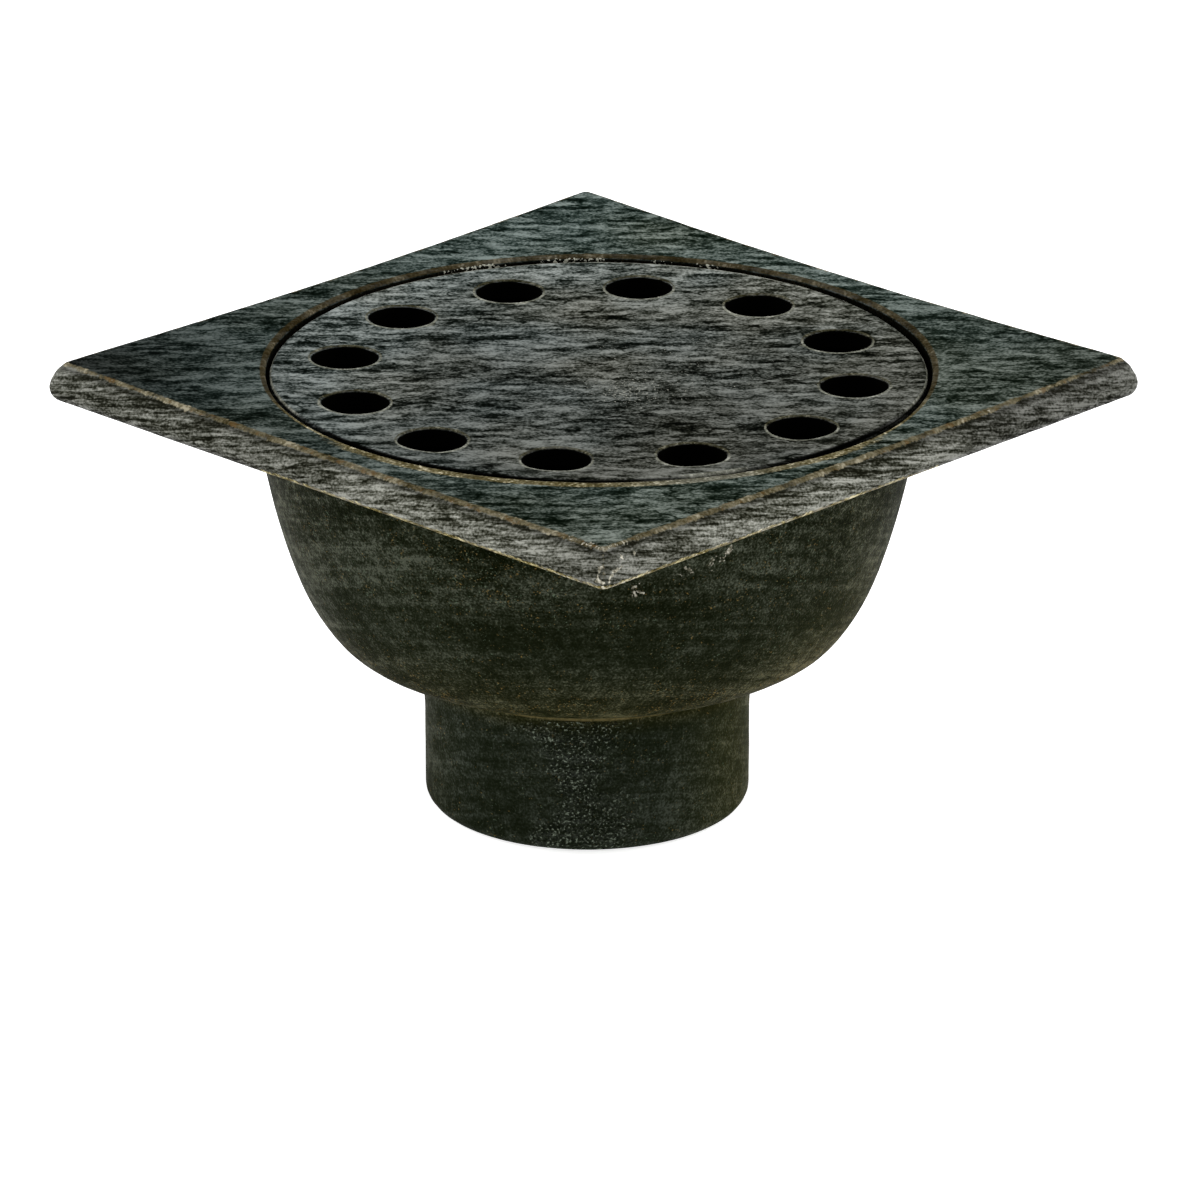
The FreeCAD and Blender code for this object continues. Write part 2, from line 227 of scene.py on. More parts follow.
def circle(centre, r):
    return np.stack([centre[0] + r * np.cos(RING_ANGLE), centre[1] + r * np.sin(RING_ANGLE)], 1)


def seat_circle(r):
    """A ring about the seat, which bulges a little to the right of its front
    and is a little flat at its left."""
    turn = (np.degrees(RING_ANGLE) + 45.96 + 180.0) % 360.0 - 180.0
    return circle(SEAT, r + 1.0 * bell_curve(turn, 53.0, 20.0) - 0.85 * bell_curve(turn, -108.0, 36.0))


ZONES = ("top", "band", "skin", "inside", "edge", "rim", "under", "dark", "chip", "rough", "root", "glint", "bright")


class Rings:
    """Rings of one closed skin, each with its places and its zone weights."""

    def __init__(self):
        self.xyz, self.zone, self.move = [], [], []

    def add(self, xy, z, move=1.0, **zone):
        z = np.broadcast_to(np.asarray(z, float), (N_ROUND,))
        self.xyz.append(np.column_stack([xy, z]))
        self.zone.append({k: np.broadcast_to(np.asarray(zone.get(k, 0.0), float), (N_ROUND,)) for k in ZONES})
        self.move.append(np.broadcast_to(np.asarray(move, float), (N_ROUND,)))


def mesh_from(name, verts, faces, attributes):
    me = bpy.data.meshes.new(name)
    me.from_pydata((verts * MM).tolist(), [], faces)
    me.validate()
    for key, values in attributes.items():
        me.attributes.new(key, "FLOAT", "POINT").data.foreach_set("value", np.asarray(values, np.float32))
    me.polygons.foreach_set("use_smooth", [True] * len(me.polygons))
    me.update()
    ob = bpy.data.objects.new(name, me)
    bpy.context.scene.collection.objects.link(ob)
    return ob


def face_normals_to_points(verts, faces):
    """Area-weighted unit normals at the points of a mesh of quads and triangles."""
    n = np.zeros_like(verts)
    for size in (3, 4):
        f = np.array([x for x in faces if len(x) == size], int)
        if not len(f):
            continue
        a, b, c = verts[f[:, 0]], verts[f[:, 1]], verts[f[:, 2]]
        if size == 4:
            k = np.cross(verts[f[:, 2]] - a, verts[f[:, 3]] - b)
        else:
            k = np.cross(b - a, c - a)
        for i in range(size):
            np.add.at(n, f[:, i], k)
    return n / np.maximum(np.linalg.norm(n, axis=1, keepdims=True), 1e-12)


def lightness(verts, to_right, to_back, seed):
    """How light the coating is, about 1: it changes slowly over the part."""
    c, s = math.cos(STREAK_TURN), math.sin(STREAK_TURN)
    right = (verts[:, 0] * c + verts[:, 1] * s) / (HALF * 1.41)
    back = (verts[:, 1] * c - verts[:, 0] * s) / (HALF * 1.41)
    return 1.0 + to_right * right + to_back * back + 0.08 * fractal(verts, 34.0, seed, 2)


def warmth(verts, to_right, to_back, seed):
    """0 where the coating is bluish, 1 where it is brownish."""
    c, s = math.cos(STREAK_TURN), math.sin(STREAK_TURN)
    right = (verts[:, 0] * c + verts[:, 1] * s) / (HALF * 1.41)
    back = (verts[:, 1] * c - verts[:, 0] * s) / (HALF * 1.41)
    return np.clip(0.5 + to_right * right + to_back * back + 0.9 * fractal(verts, 22.0, seed, 3), 0, 1)


def body_rings():
    R = Rings()
    z0 = TOP
    # seat: ledge, wall and rounded lip
    R.add(circle(BOWL, 59.0), 84.6 - 0.25, 0.3, inside=1)
    R.add(circle(BOWL, 59.25), 84.6, 0.3, inside=1)
    for t in (0.5, 0.96):
        xy = circle(BOWL, 59.25) * (1 - t) + seat_circle(65.45) * t
        R.add(xy, 84.6, 0.2, inside=1)
    R.add(seat_circle(65.45), 84.75, 0.2, inside=1)
    wall = seat_circle(65.45)
    to_right = (wall[:, 0] + wall[:, 1]) / math.sqrt(2)
    at_back = (wall[:, 1] - wall[:, 0] > 40).astype(float)
    # painted glints: bright specks in clusters along the back of the seat's wall
    glint = at_back * sum(much * bell_curve(to_right, place, wide) for place, wide, much in (
        (-25.6, 3.4, 0.9), (-19.3, 2.8, 1.0), (-4.2, 4.6, 1.1), (1.9, 1.4, 0.9), (14.8, 2.2, 0.55), (23.7, 3.2, 0.55)))
    for z in (85.8, 87.0, 88.2, 89.3):
        R.add(wall, z, 0.6, inside=1, glint=glint * (z > 89))
    lip = 0.9
    turn = (np.degrees(RING_ANGLE) + 45.96 + 180.0) % 360.0 - 180.0
    bright = bell_curve(turn, 19.0, 11.0)
    for a in np.linspace(0, 90, 6):
        r = 65.45 + lip * (1 - math.cos(math.radians(a)))
        xy = seat_circle(r)
        d = dish(xy[:, 0], xy[:, 1])
        zz = TOP + d - lip * (1 - math.sin(math.radians(a)))
        ahead = smooth((xy[:, 0] - xy[:, 1]) / math.sqrt(2), 0.0, 40.0)
        rim = ahead * smooth(a, 30, 60) + (1 - ahead) * smooth(a, 4, 40)
        R.add(xy, zz, 1.0, rim=rim, inside=1 - rim, top=smooth(a, 60, 90) * 0.3, bright=bright,
              glint=glint * (1 - smooth(a, 12, 42)))
    # dished top, from the lip to the ridge along the flange's edge
    for r, e in ((66.8, 1.0), (67.5, 0.9), (68.4, 0.62), (69.3, 0.0)):
        xy = seat_circle(r)
        e = e * (0.04 + 0.96 * smooth((xy[:, 0] - xy[:, 1]) / math.sqrt(2), 30.0, 62.0))
        R.add(xy, TOP + dish(xy[:, 0], xy[:, 1]), 1.0, rim=e, top=1 - 0.5 * e, bright=bright)
    lip_xy = seat_circle(69.3)
    inner = square(HALF - 6.0, 1.3, 0.3)
    for t in (0.06, 0.15, 0.27, 0.39, 0.51, 0.63, 0.75, 0.87, 1.0):
        xy = lip_xy * (1 - t) + inner * t
        R.add(xy, TOP + dish(xy[:, 0], xy[:, 1]), 0.7, top=1)
    section = rounded([
        (6.0, 0.0), (2.95, -0.08, 0.9, 6), (1.38, -1.70, 2.6, 3), (0.28, -3.72, 2.8, 3), (0.0, -5.0)],
        [3, 2, 3, 2])
    low = arc(2.98, -5.0, 2.98, 180, 270, 8)
    for d, z in chain(section[1:], low):
        h = -z / 7.98
        bow = 0.3 * (1 - smooth(-z, 0.5, 6.0))
        corner = np.interp(d if z > -5 else -d, [-2.98, -1.5, 0.0, 1.4, 2.9, 6.0], [0.9, 1.4, 3.0, 2.0, 1.0, 1.3])
        xy = square(HALF - d, corner, bow)
        fall = dish(xy[:, 0], xy[:, 1]) * (1 - smooth(-z, 0.2, 7.5)) - 0.1 * h
        zz = TOP + z + fall
        from_front = np.where(xy[:, 0] + xy[:, 1] < 0, 76.2 - xy[:, 0], xy[:, 1] + 76.2)
        ridge = bell_curve(math.hypot(d - 2.95, z + 0.2), 0.0, 0.78)
        ridge = ridge * (1 - 0.30 * bell_curve(from_front, 0.0, 15.0)) * (1 - 0.36 * smooth(from_front, 85.0, 150.0))
        under = bell_curve(math.hypot(d - 1.2, z + 7.3), 0.0, 1.08)
        # painted shade: a dark line just under the ridge
        shade = bell_curve(math.hypot(d - 2.0, z + 1.05), 0.0, 0.45)
        top = smooth(d, 2.7, 3.3) if z > -0.6 else 0.0
        skin = smooth(-z, 7.4, 7.95)
        # worn arris at the four corners
        j = np.arange(N_ROUND) % N_QUARTER
        arris = np.where(j < N_CORNER, np.exp(-(((j - (N_CORNER - 1) / 2) / 1.5) ** 2)), 0.0)
        arris = arris * smooth(-z, 0.3, 1.5) * (1 - smooth(-z, 7.2, 7.9)) * 0.5
        # the lower edge is worn to the metal where the bowl is behind it, and darkened with painted shade beyond
        worn_low = 1 - smooth(from_front, 80.0, 104.0)
        R.add(xy, zz, 1.0, top=top, band=(1 - top) * (1 - skin), skin=skin, edge=np.clip(ridge + arris, 0, 1),
              under=under * worn_low, dark=np.clip(shade + 0.6 * under * (1 - worn_low), 0, 1))
    # underside, to the fillet at the bowl's neck
    under_xy = square(HALF - 2.98, 0.9, 0.0)
    neck_xy = circle(BOWL, 70.49)
    for t in (0.35, 0.7, 1.0):
        xy = under_xy * (1 - t) + neck_xy * t
        R.add(xy, TOP - 8.05 + 0.05 * t, 0.6, skin=1)
    neck = arc(70.49, z0 - 13.5, 5.5, 90, 167.65, 7)
    wall = chain(
        neck,
        line(neck[-1], (62.379, z0 - 24.829), 5),
        arc(-73.425, z0 + 4.909, 139.022, -12.35, -19.11, 6),
        arc(13.589, z0 - 25.243, 46.933, -19.11, -37.69, 7),
        arc(38.618, z0 - 44.585, 15.3, -37.69, -73.0, 14),
        line((43.092, z0 - 59.217), (33.732, z0 - 62.079), 4))
    from_axis = (np.degrees(RING_ANGLE) + 46.0 + 180.0) % 360.0 - 180.0
    # painted highlight: a light line along the bowl's foot, following its outline as seen from the front, and at the
    # spigot's root
    foot_highlight = 43.9 + 1.5 * np.minimum(np.abs(from_axis) / 46.0, 1.3) ** 2
    for r, z in wall[1:]:
        z += 0.95 * float(smooth(55.0 - r, 0.0, 11.0)) * (z < z0 - 40.0)      # the bowl's foot is a little flatter
        R.add(circle(BOWL, r), z, 1.0, skin=1, rough=0.4 * smooth(-z, -60, -30), root=bell_curve(r, 33.7, 1.2) + bell_curve(r, foot_highlight, 0.85) * (z < z0 - 50.0) * (1 - 0.6 * smooth(np.abs(from_axis), 90.0, 130.0)))
    root = arc(34.2, z0 - 63.609, 1.6, 107, 180, 4)
    for n, (r, z) in enumerate(root[1:]):
        R.add(circle(BOWL, r), z, 0.8, skin=1, root=(1.0, 1.0, 0.5, 0.0)[n])
    for t in (0.25, 0.6):
        R.add(circle(BOWL, 32.6 - 0.5 * t), 27.79 - 8.39 * t, 1.0, skin=1, rough=0.7)
    for z in (19.4, 16.5, 13.6, 10.7, 7.8, 5.0):
        R.add(circle(BOWL, 32.1), z, 1.0, skin=1, rough=1.0)
    for r, z in arc(29.1, 3.0, 3.0, 0, -90, 6):
        R.add(circle(BOWL, r), z, 0.9 * smooth(z, 0.0, 1.2), skin=1, rough=smooth(z, 0.0, 1.5), edge=0.2 * bell_curve(z, 0.5, 0.6))
    for r, z in ((28.3, 0.0), (27.65, 0.0), (27.45, 0.05), (26.55, 0.95), (26.45, 1.25)):
        R.add(circle(BOWL, min(r, 27.5) if z else r), z, 0.0, skin=0.7, inside=0.3, edge=0.2 if 0 < z < 1.2 else 0.0)
    for z in (6.0, 22.0, 44.0, 62.0, 65.9):
        R.add(circle(BOWL, 26.5), z, 0.4, inside=1)
    for r, z in chain(arc(28.0, 65.9, 1.5, 180, 90, 3), arc(28.9, 65.9, 1.5, 90, 0, 3))[1:]:
        R.add(circle(BOWL, r), z, 0.4, inside=1)
    for t in (0.35, 0.7):
        R.add(circle(BOWL, 30.4 + 0.6 * t), 65.9 + (z0 - 52.28 - 65.9) * t, 0.4, inside=1)
    for r, z in arc(35.0, z0 - 52.28, 4.0, 180, 253, 4):
        R.add(circle(BOWL, r), z, 0.4, inside=1)
    hollow = chain(
        line((33.831, z0 - 56.105), (41.630, z0 - 54.436), 2),
        arc(38.618, z0 - 44.585, 10.3, -73.0, -37.69, 4),
        arc(13.589, z0 - 25.243, 41.933, -37.69, -19.11, 4),
        arc(-73.425, z0 + 4.909, 134.022, -19.11, -12.35, 3),
        line((57.495, z0 - 23.760), (59.0, z0 - 16.885), 2))
    for r, z in hollow[1:]:
        R.add(circle(BOWL, r), z, 0.5, inside=1)
    R.add(circle(BOWL, 59.0), z0 - 16.5, 0.4, inside=1)
    R.add(circle(BOWL, 59.0), 79.5, 0.3, inside=1)
    return R


def make_body():
    R = body_rings()
    rows = len(R.xyz)
    verts = np.concatenate(R.xyz)
    attrs = {k: np.concatenate([z[k] for z in R.zone]) for k in ZONES}
    move = np.concatenate(R.move)
    i = np.arange(N_ROUND)
    j = (i + 1) % N_ROUND
    faces = []
    for a in range(rows):
        b = (a + 1) % rows
        q = np.stack([a * N_ROUND + i, a * N_ROUND + j, b * N_ROUND + j, b * N_ROUND + i], 1)
        faces += q.tolist()
    n = face_normals_to_points(verts, faces)
    # the skin is closed: turn it the right way out
    mid_band = np.argmax(attrs["band"] * (np.abs(verts[:, 0] - HALF) < 0.3))
    if n[mid_band, 0] < 0:
        faces = [f[::-1] for f in faces]
        n = -n
    x, y, z = verts.T
    front = (x - y) / math.sqrt(2)              # towards the front corner
    # bare metal along stretches of the +X side's lower edge and on the ridge near the front corner
    low_edge = bell_curve(z, TOP - 7.5, 0.75) * (x > 60)
    stretch = bell_curve(y, -70.0, 8.0) + 1.1 * bell_curve(y, -29.0, 9.0) + 0.45 * bell_curve(y, -51.0, 5.0)
    chip = 1.6 * low_edge * np.minimum(stretch, 1.0)
    ridge_spot = attrs["edge"] * (z > TOP - 1.0) * (1.5 * smooth(x - y, 130.0, 147.0) + 0.28)
    chip = np.maximum(chip, ridge_spot)
    chip = chip * (attrs["skin"] < 0.5)
    # a few specks of bare metal on the bowl, close under the flange's edge
    for place, wide, much in (((48.8, -38.6, 66.9), 1.2, 0.9), ((54.5, -31.0, 70.0), 1.5, 1.0), ((57.4, -26.5, 71.2), 1.6, 0.9)):
        away = np.linalg.norm(verts - np.array(place), axis=1)
        chip = np.maximum(chip, much * bell_curve(away, 0.0, wide))
    attrs["chip"] = np.clip(chip, 0, 1.6)
    # rough vertical patch on the spigot, below the front corner, wider at its foot
    ang = (np.degrees(np.arctan2(y - BOWL[1], x - BOWL[0])) + 46.0 + 180.0) % 360.0 - 180.0
    wander = 5.0 * noise(verts, 9.0, 77)
    patch = 0.8 * bell_curve(ang + wander, -5.0, 7.5) + 0.27 * bell_curve(ang + wander, 12.0, 14.0)
    patch += 0.9 * bell_curve(ang + 2 * wander, -2.0, 19.0) * bell_curve(z, 3.0, 5.5)
    patch += 0.7 * bell_curve(ang + 2 * wander, -14.0, 14.0) * bell_curve(z, 25.5, 3.0)
    attrs["rough"] = np.clip(patch, 0, 1) * (attrs["skin"] > 0.5) * (z < 27.8)
    d = np.zeros(len(verts))
    d += attrs["top"] * (0.05 * fractal(verts, 26.0, 3, 3) + 0.015 * noise(verts, 2.6, 9))
    d += attrs["band"] * (0.05 * fractal(verts, 14.0, 5, 3) + 0.03 * noise(verts, 2.4, 8))
    d += (attrs["edge"] + attrs["rim"]) * (0.05 * fractal(verts, 7.0, 6, 2) - 0.02)
    d += attrs["skin"] * (0.16 * fractal(verts, 30.0, 11, 3) + 0.05 * fractal(verts, 5.0, 12, 3))
    d += attrs["inside"] * 0.06 * fractal(verts, 9.0, 14, 3)
    pits = np.clip(fractal(verts, 2.4, 21, 2) - 0.12, 0, 1)
    d -= attrs["rough"] * pits * 0.35
    d += attrs["rough"] * 0.05 * noise(verts, 1.5, 23)
    bite = np.clip(fractal(verts, 3.2, 41, 3) - 0.18, 0, 1)
    d -= np.minimum(attrs["chip"], 1.0) * bite * 0.35
    verts = verts + n * (d * move)[:, None]
    lo = np.array([-HALF, -HALF, 0.0])
    hi = np.array([HALF, HALF, TOP])
    verts = np.clip(verts, lo, hi)
    attrs["pit"] = attrs["rough"] * pits
    aside = (x + y) / math.sqrt(2) / (HALF * 1.41)
    attrs["light"] = lightness(verts, 0.27, 0.10, 7) + 0.05 - 0.76 * aside ** 2
    # painted sheen: the bowl and spigot are made lighter and tanner towards their sides as seen from the front, more
    # so on the right
    behind = smooth(np.abs(ang), 96.0, 135.0)
    attrs["flank_sheen"] = smooth(np.abs(ang + 4.0), 40.0, 82.0) * (1 - 0.75 * behind)
    attrs["right_flank_sheen"] = smooth(ang, 22.0, 66.0) * (1 - 0.9 * smooth(z, 45.0, 64.0)) * (1 - behind)
    # the edge band is worn lightest on both sides of the front corner, and least at the right corner; painted shade
    # darkens it towards its lower edge
    from_front = np.where(x + y < 0, 76.2 - x, y + 76.2)
    attrs["band_wear_shade"] = (0.86 + 0.44 * bell_curve(from_front, 42.0, 38.0) - 0.17 * bell_curve(from_front, 0.0, 24.0) - 0.34 * smooth(from_front, 88.0, 115.0) * (x + y > 0)
                     + 0.08 * fractal(verts, 20.0, 91, 2)) * (1 - 0.30 * smooth(TOP - z, 4.2, 7.4))
    # where light specks lie thick on the skin
    attrs["dotty"] = np.clip(bell_curve(ang, -17.0, 17.0) * bell_curve(z, 69.0, 9.0)
                             + 0.8 * bell_curve(z, 37.0, 7.0) * (z > 28.0)
                             + 0.55 * bell_curve(ang, -58.0, 14.0) * bell_curve(z, 66.0, 10.0)
                             + 0.5 * bell_curve(ang, 36.0, 22.0) * bell_curve(z, 66.0, 14.0), 0, 1)
    attrs["near"] = np.clip(front / 64.0, -1, 1)
    attrs["warm"] = warmth(verts, 0.50, -0.25, 17)
    return mesh_from("trap_body_casting", verts, faces, attrs)


# ------------------------------------------------------------- strainer mesh
HOLES = 12
HOLE_RING, HOLE_R, HOLE_TURN = 50.46, 6.5, 4.84
N_SECTOR, N_RADIAL = 48, 14
N_DISC = HOLES * N_SECTOR
DISC_TOP, DISC_LOW = TOP - 2.4, TOP - 6.8


def make_strainer():
    verts, faces = [], []

    def push(points):
        start = len(verts)
        verts.extend(points)
        return np.arange(start, start + len(points))

    def bridge(a, b, closed=True):
        n = len(a)
        for i in range(n if closed else n - 1):
            j = (i + 1) % n
            faces.append([int(a[i]), int(a[j]), int(b[j]), int(b[i])])

    angle = np.radians(HOLE_TURN - 15.0 + 30.0 * np.arange(N_DISC) / N_SECTOR)

    def ring(r, z):
        return [(DISC[0] + r * math.cos(a), DISC[1] + r * math.sin(a), z) for a in angle]

    def rings(profile):
        """Rings along a profile; neighbouring ones are bridged."""
        last = None
        for r, z in profile:
            now = push(ring(r, z))
            if last is not None:
                bridge(last, now)
            last = now
        return last

    def fan(r, z, flip):
        rim = push(ring(r, z))
        mid = push([(DISC[0], DISC[1], z)])[0]
        for i in range(N_DISC):
            j = (i + 1) % N_DISC
            faces.append([int(rim[j]), int(rim[i]), int(mid)] if flip else [int(rim[i]), int(rim[j]), int(mid)])

    inner_top, outer = 43.2, 57.7
    inner_low = 43.55
    # the face inside the ring of holes
    fan(1.5, DISC_TOP, False)
    rings([(r, DISC_TOP) for r in (inner_top, 41.5, 39, 36, 33, 30, 27, 24, 21, 18, 15, 12, 9, 6.5, 4, 1.5)])
    # outside of them: face, rounded edge, side, break, underside
    edge = chain(
        line((outer, DISC_TOP), (63.3, DISC_TOP), 5),
        [(63.6, DISC_TOP)],
        arc(63.6, DISC_TOP - 0.8, 0.8, 90, 0, 5),
        line((64.4, DISC_TOP - 0.8), (64.0, DISC_LOW + 0.5), 3),
        arc(63.5, DISC_LOW + 0.5, 0.5, 0, -90, 3),
        [(63.3, DISC_LOW)],
        line((63.3, DISC_LOW), (outer, DISC_LOW), 2))
    rings(edge[::-1])
    # bell: root, outside, lip, inside, ceiling
    skirt = chain(
        [(inner_low, DISC_LOW)],
        arc(43.5, DISC_LOW - 2.0, 2.0, 90, 180, 4),
        line((41.5, DISC_LOW - 2.0), (41.0, 48.6), 9),
        arc(39.8, 48.6, 1.2, 0, -90, 3),
        arc(39.0, 48.6, 1.2, -90, -180, 3),
        line((37.8, 48.6), (37.2, DISC_LOW - 4.0), 6),
        arc(33.2, DISC_LOW - 4.0, 4.0, 0, 90, 5),
        line((33.2, DISC_LOW), (3.0, DISC_LOW), 5))
    rings(skirt[::-1])
    fan(3.0, DISC_LOW, True)
    # cells with the holes
    for k in range(HOLES):
        mid = math.radians(HOLE_TURN + 30.0 * k)
        c = np.array([DISC[0] + HOLE_RING * math.cos(mid), DISC[1] + HOLE_RING * math.sin(mid)])

        def boundary(r_in):
            a = np.radians(HOLE_TURN + 30.0 * k - 15.0 + 30.0 * np.arange(N_SECTOR + 1) / N_SECTOR)
            rr = np.linspace(r_in, outer, N_RADIAL + 1)
            pts = [(r_in, t) for t in a] + [(r, a[-1]) for r in rr[1:]] \
                + [(outer, t) for t in a[::-1][1:]] + [(r, a[0]) for r in rr[::-1][1:-1]]
            return np.array([(DISC[0] + r * math.cos(t), DISC[1] + r * math.sin(t)) for r, t in pts])

        for r_in, z, low in ((inner_top, DISC_TOP, False), (inner_low, DISC_LOW, True)):
            edge_xy = boundary(r_in)
            way = np.arctan2(edge_xy[:, 1] - c[1], edge_xy[:, 0] - c[0])
            unit = np.stack([np.cos(way), np.sin(way)], 1)
            mouth = HOLE_R + (0.0 if low else 0.5)
            start = c + unit * mouth
            loops = []
            for b in ((0, 0.1, 0.3, 0.6, 1.0) if low else (0, 0.05, 0.13, 0.26, 0.45, 0.7, 1.0)):
                xy = start * (1 - b) + edge_xy * b
                loops.append(push([(p[0], p[1], z) for p in xy]))
            for p, q in zip(loops, loops[1:]):
                if low:
                    bridge(q, p)
                else:
                    bridge(p, q)
            if not low:
                down = chain(
                    arc(7.0, DISC_TOP - 0.5, 0.5, 90, 180, 5),
                    line((6.5, DISC_TOP - 0.5), (6.5, DISC_LOW), 4))
                last = loops[0]
                for r, zz in down[1:]:
                    now = push([(p[0], p[1], zz) for p in (c + unit * r)])
                    bridge(now, last)
                    last = now
                wall_way, wall_last = way, last
            else:
                # the underside starts from its own angles: join it to the wall's last loop
                joins = push([(p[0], p[1], DISC_LOW) for p in (c + np.stack([np.cos(wall_way), np.sin(wall_way)], 1) * HOLE_R)])
                a = loops[0]
                for i in range(len(a)):
                    verts[int(a[i])] = verts[int(joins[i])]

    verts = np.array(verts, float)
    # merge points that coincide
    key = np.round(verts / 0.002).astype(np.int64)
    _, first, index = np.unique(key, axis=0, return_index=True, return_inverse=True)
    index = index.reshape(-1)
    verts = verts[first]
    clean = []
    for f in faces:
        g = [int(index[i]) for i in f]
        g = [g[i] for i in range(len(g)) if g[i] != g[i - 1]]
        if len(set(g)) >= 3:
            clean.append(g)
    faces = clean
    n = face_normals_to_points(verts, faces)
    x, y, z = verts.T
    rr = np.hypot(x - DISC[0], y - DISC[1])
    th = np.degrees(np.arctan2(y - DISC[1], x - DISC[0])) - HOLE_TURN
    near = np.radians((th + 15) % 30 - 15)
    hx = rr * np.cos(near) - HOLE_RING
    hy = rr * np.sin(near)
    hd = np.hypot(hx, hy)
    up = (z > DISC_TOP - 0.02).astype(float)
    in_hole = (hd < 7.02) & (z < DISC_TOP - 0.02) & (z > DISC_LOW - 0.01)
    a = {}
    a["top"] = np.where(z > DISC_TOP - 1.0, 1.0, 0.0) * (~in_hole)
    # which side of its hole a point is on: +1 towards the front corner
    cx = DISC[0] + HOLE_RING * np.cos(np.radians(th - np.degrees(near) + HOLE_TURN))
    cy = DISC[1] + HOLE_RING * np.sin(np.radians(th - np.degrees(near) + HOLE_TURN))
    a["near"] = np.clip(((x - cx) - (y - cy)) / math.sqrt(2) / 7.0, -1, 1)
    fore = smooth(a["near"], 0.0, 0.7)
    aft = smooth(-a["near"], 0.0, 0.7)
    # painted highlight on the near lip of each hole, and the top of its far wall painted brown where lit
    a["mouth"] = np.where(z > DISC_TOP - 0.1, bell_curve(hd, 7.05 + 0.12 * fore, 0.26 + 0.12 * fore), 0.0)
    a["mouth"] = np.maximum(a["mouth"], in_hole * aft * (1 - smooth(DISC_TOP - z, 0.1, 0.35)))
    a["hole"] = in_hole * smooth(DISC_TOP - z, 0.02 + 0.08 * aft, 0.14 + 0.2 * aft)
    edge_d = np.hypot(np.maximum(rr - 63.6, 0), 0.0)
    to_front = ((x - DISC[0]) - (y - DISC[1])) / math.sqrt(2) / np.maximum(rr, 1.0)
    begin = 63.85 - 0.5 * smooth(np.abs(to_front), 0.3, 0.9)
    side_on = ((x - DISC[0]) + (y - DISC[1])) / math.sqrt(2) / np.maximum(rr, 1.0)
    turn = np.degrees(np.arctan2(side_on, to_front))
    shut = bell_curve(turn, 19.0, 9.0)          # here the margin meets the lip
    # painted shade: the margin's side wall in the gap is coloured black all round, and towards the front its rounded
    # edge loses its light line and turns black too
    dark = smooth(to_front, 0.25, 0.62) * (1 - 0.9 * shut)
    a["edge"] = np.where(z > DISC_TOP - 0.75, smooth(rr, begin, begin + 0.3), 0.0) * (1 - dark)
    a["side"] = np.where(z > DISC_TOP - 1.2, smooth(DISC_TOP - z, 0.3, 0.7), 0.0) * (rr > 60)
    a["side"] = np.maximum(a["side"], dark * smooth(rr, 63.9, 64.12) * (z > DISC_TOP - 1.2))
    a["inside"] = np.where((z < DISC_TOP - 1.0) & ~in_hole, 1.0, 0.0) * smooth(DISC_TOP - z, 1.0, 1.6)
    move = np.ones(len(verts))
    d = a["top"] * (0.045 * fractal(verts, 24.0, 103, 3) + 0.012 * noise(verts, 2.5, 109))
    d += (a["mouth"] + a["hole"] * 0.6) * 0.07 * fractal(verts, 3.4, 107, 3)
    d += a["edge"] * (0.06 * fractal(verts, 4.0, 111, 3) - 0.02)
    d += a["inside"] * 0.05 * fractal(verts, 9.0, 115, 3)
    d *= np.where(np.abs(z - DISC_LOW) < 0.3, 0.0, 1.0)     # it rests on its ledge
    verts = verts + n * (d * move)[:, None]
    # the margin of the face stands a little higher towards the front, and less so towards the back
    lift = smooth(rr, 54.5, 64.0) * (1.25 * smooth(to_front, -0.15, 0.5) + 0.5 * smooth(-to_front, 0.3, 0.9))
    verts[:, 2] += lift * smooth(z, DISC_LOW + 0.4, DISC_TOP - 0.9) * (rr > 43.0)
    c, s = math.cos(STREAK_TURN), math.sin(STREAK_TURN)
    right = (verts[:, 0] * c + verts[:, 1] * s) / (HALF * 1.41)
    back = (verts[:, 1] * c - verts[:, 0] * s) / (HALF * 1.41)
    a["light"] = (0.62 + 0.42 * back + 0.50 * back ** 2 + 0.24 * smooth(-right, 0.25, 0.5) + 0.10 * smooth(right, 0.2, 0.5)
                  + 0.08 * fractal(verts, 34.0, 57, 2))
    a["speck"] = bell_curve(np.hypot(right - 0.06, back + 0.11), 0.0, 0.07) + 0.45 * bell_curve(np.hypot(right - 0.12, back), 0.0, 0.22)
    a["warm"] = warmth(verts, 1.1, 0.0, 67)
    # it lies loose in its seat, a little to the right
    verts[:, 0] += 0.25 * c
    verts[:, 1] += 0.25 * s
    return mesh_from("strainer_with_bell", verts, faces, a)


body = make_body()
strainer = make_strainer()


# ---------------------------------------------------------------- materials
def lin(r, g, b):
    """Linear colour from 0..255 display values."""
    out = []
    for v in (r, g, b):
        v /= 255.0
        out.append(v / 12.92 if v <= 0.04045 else ((v + 0.055) / 1.055) ** 2.4)
    return (*out, 1.0)


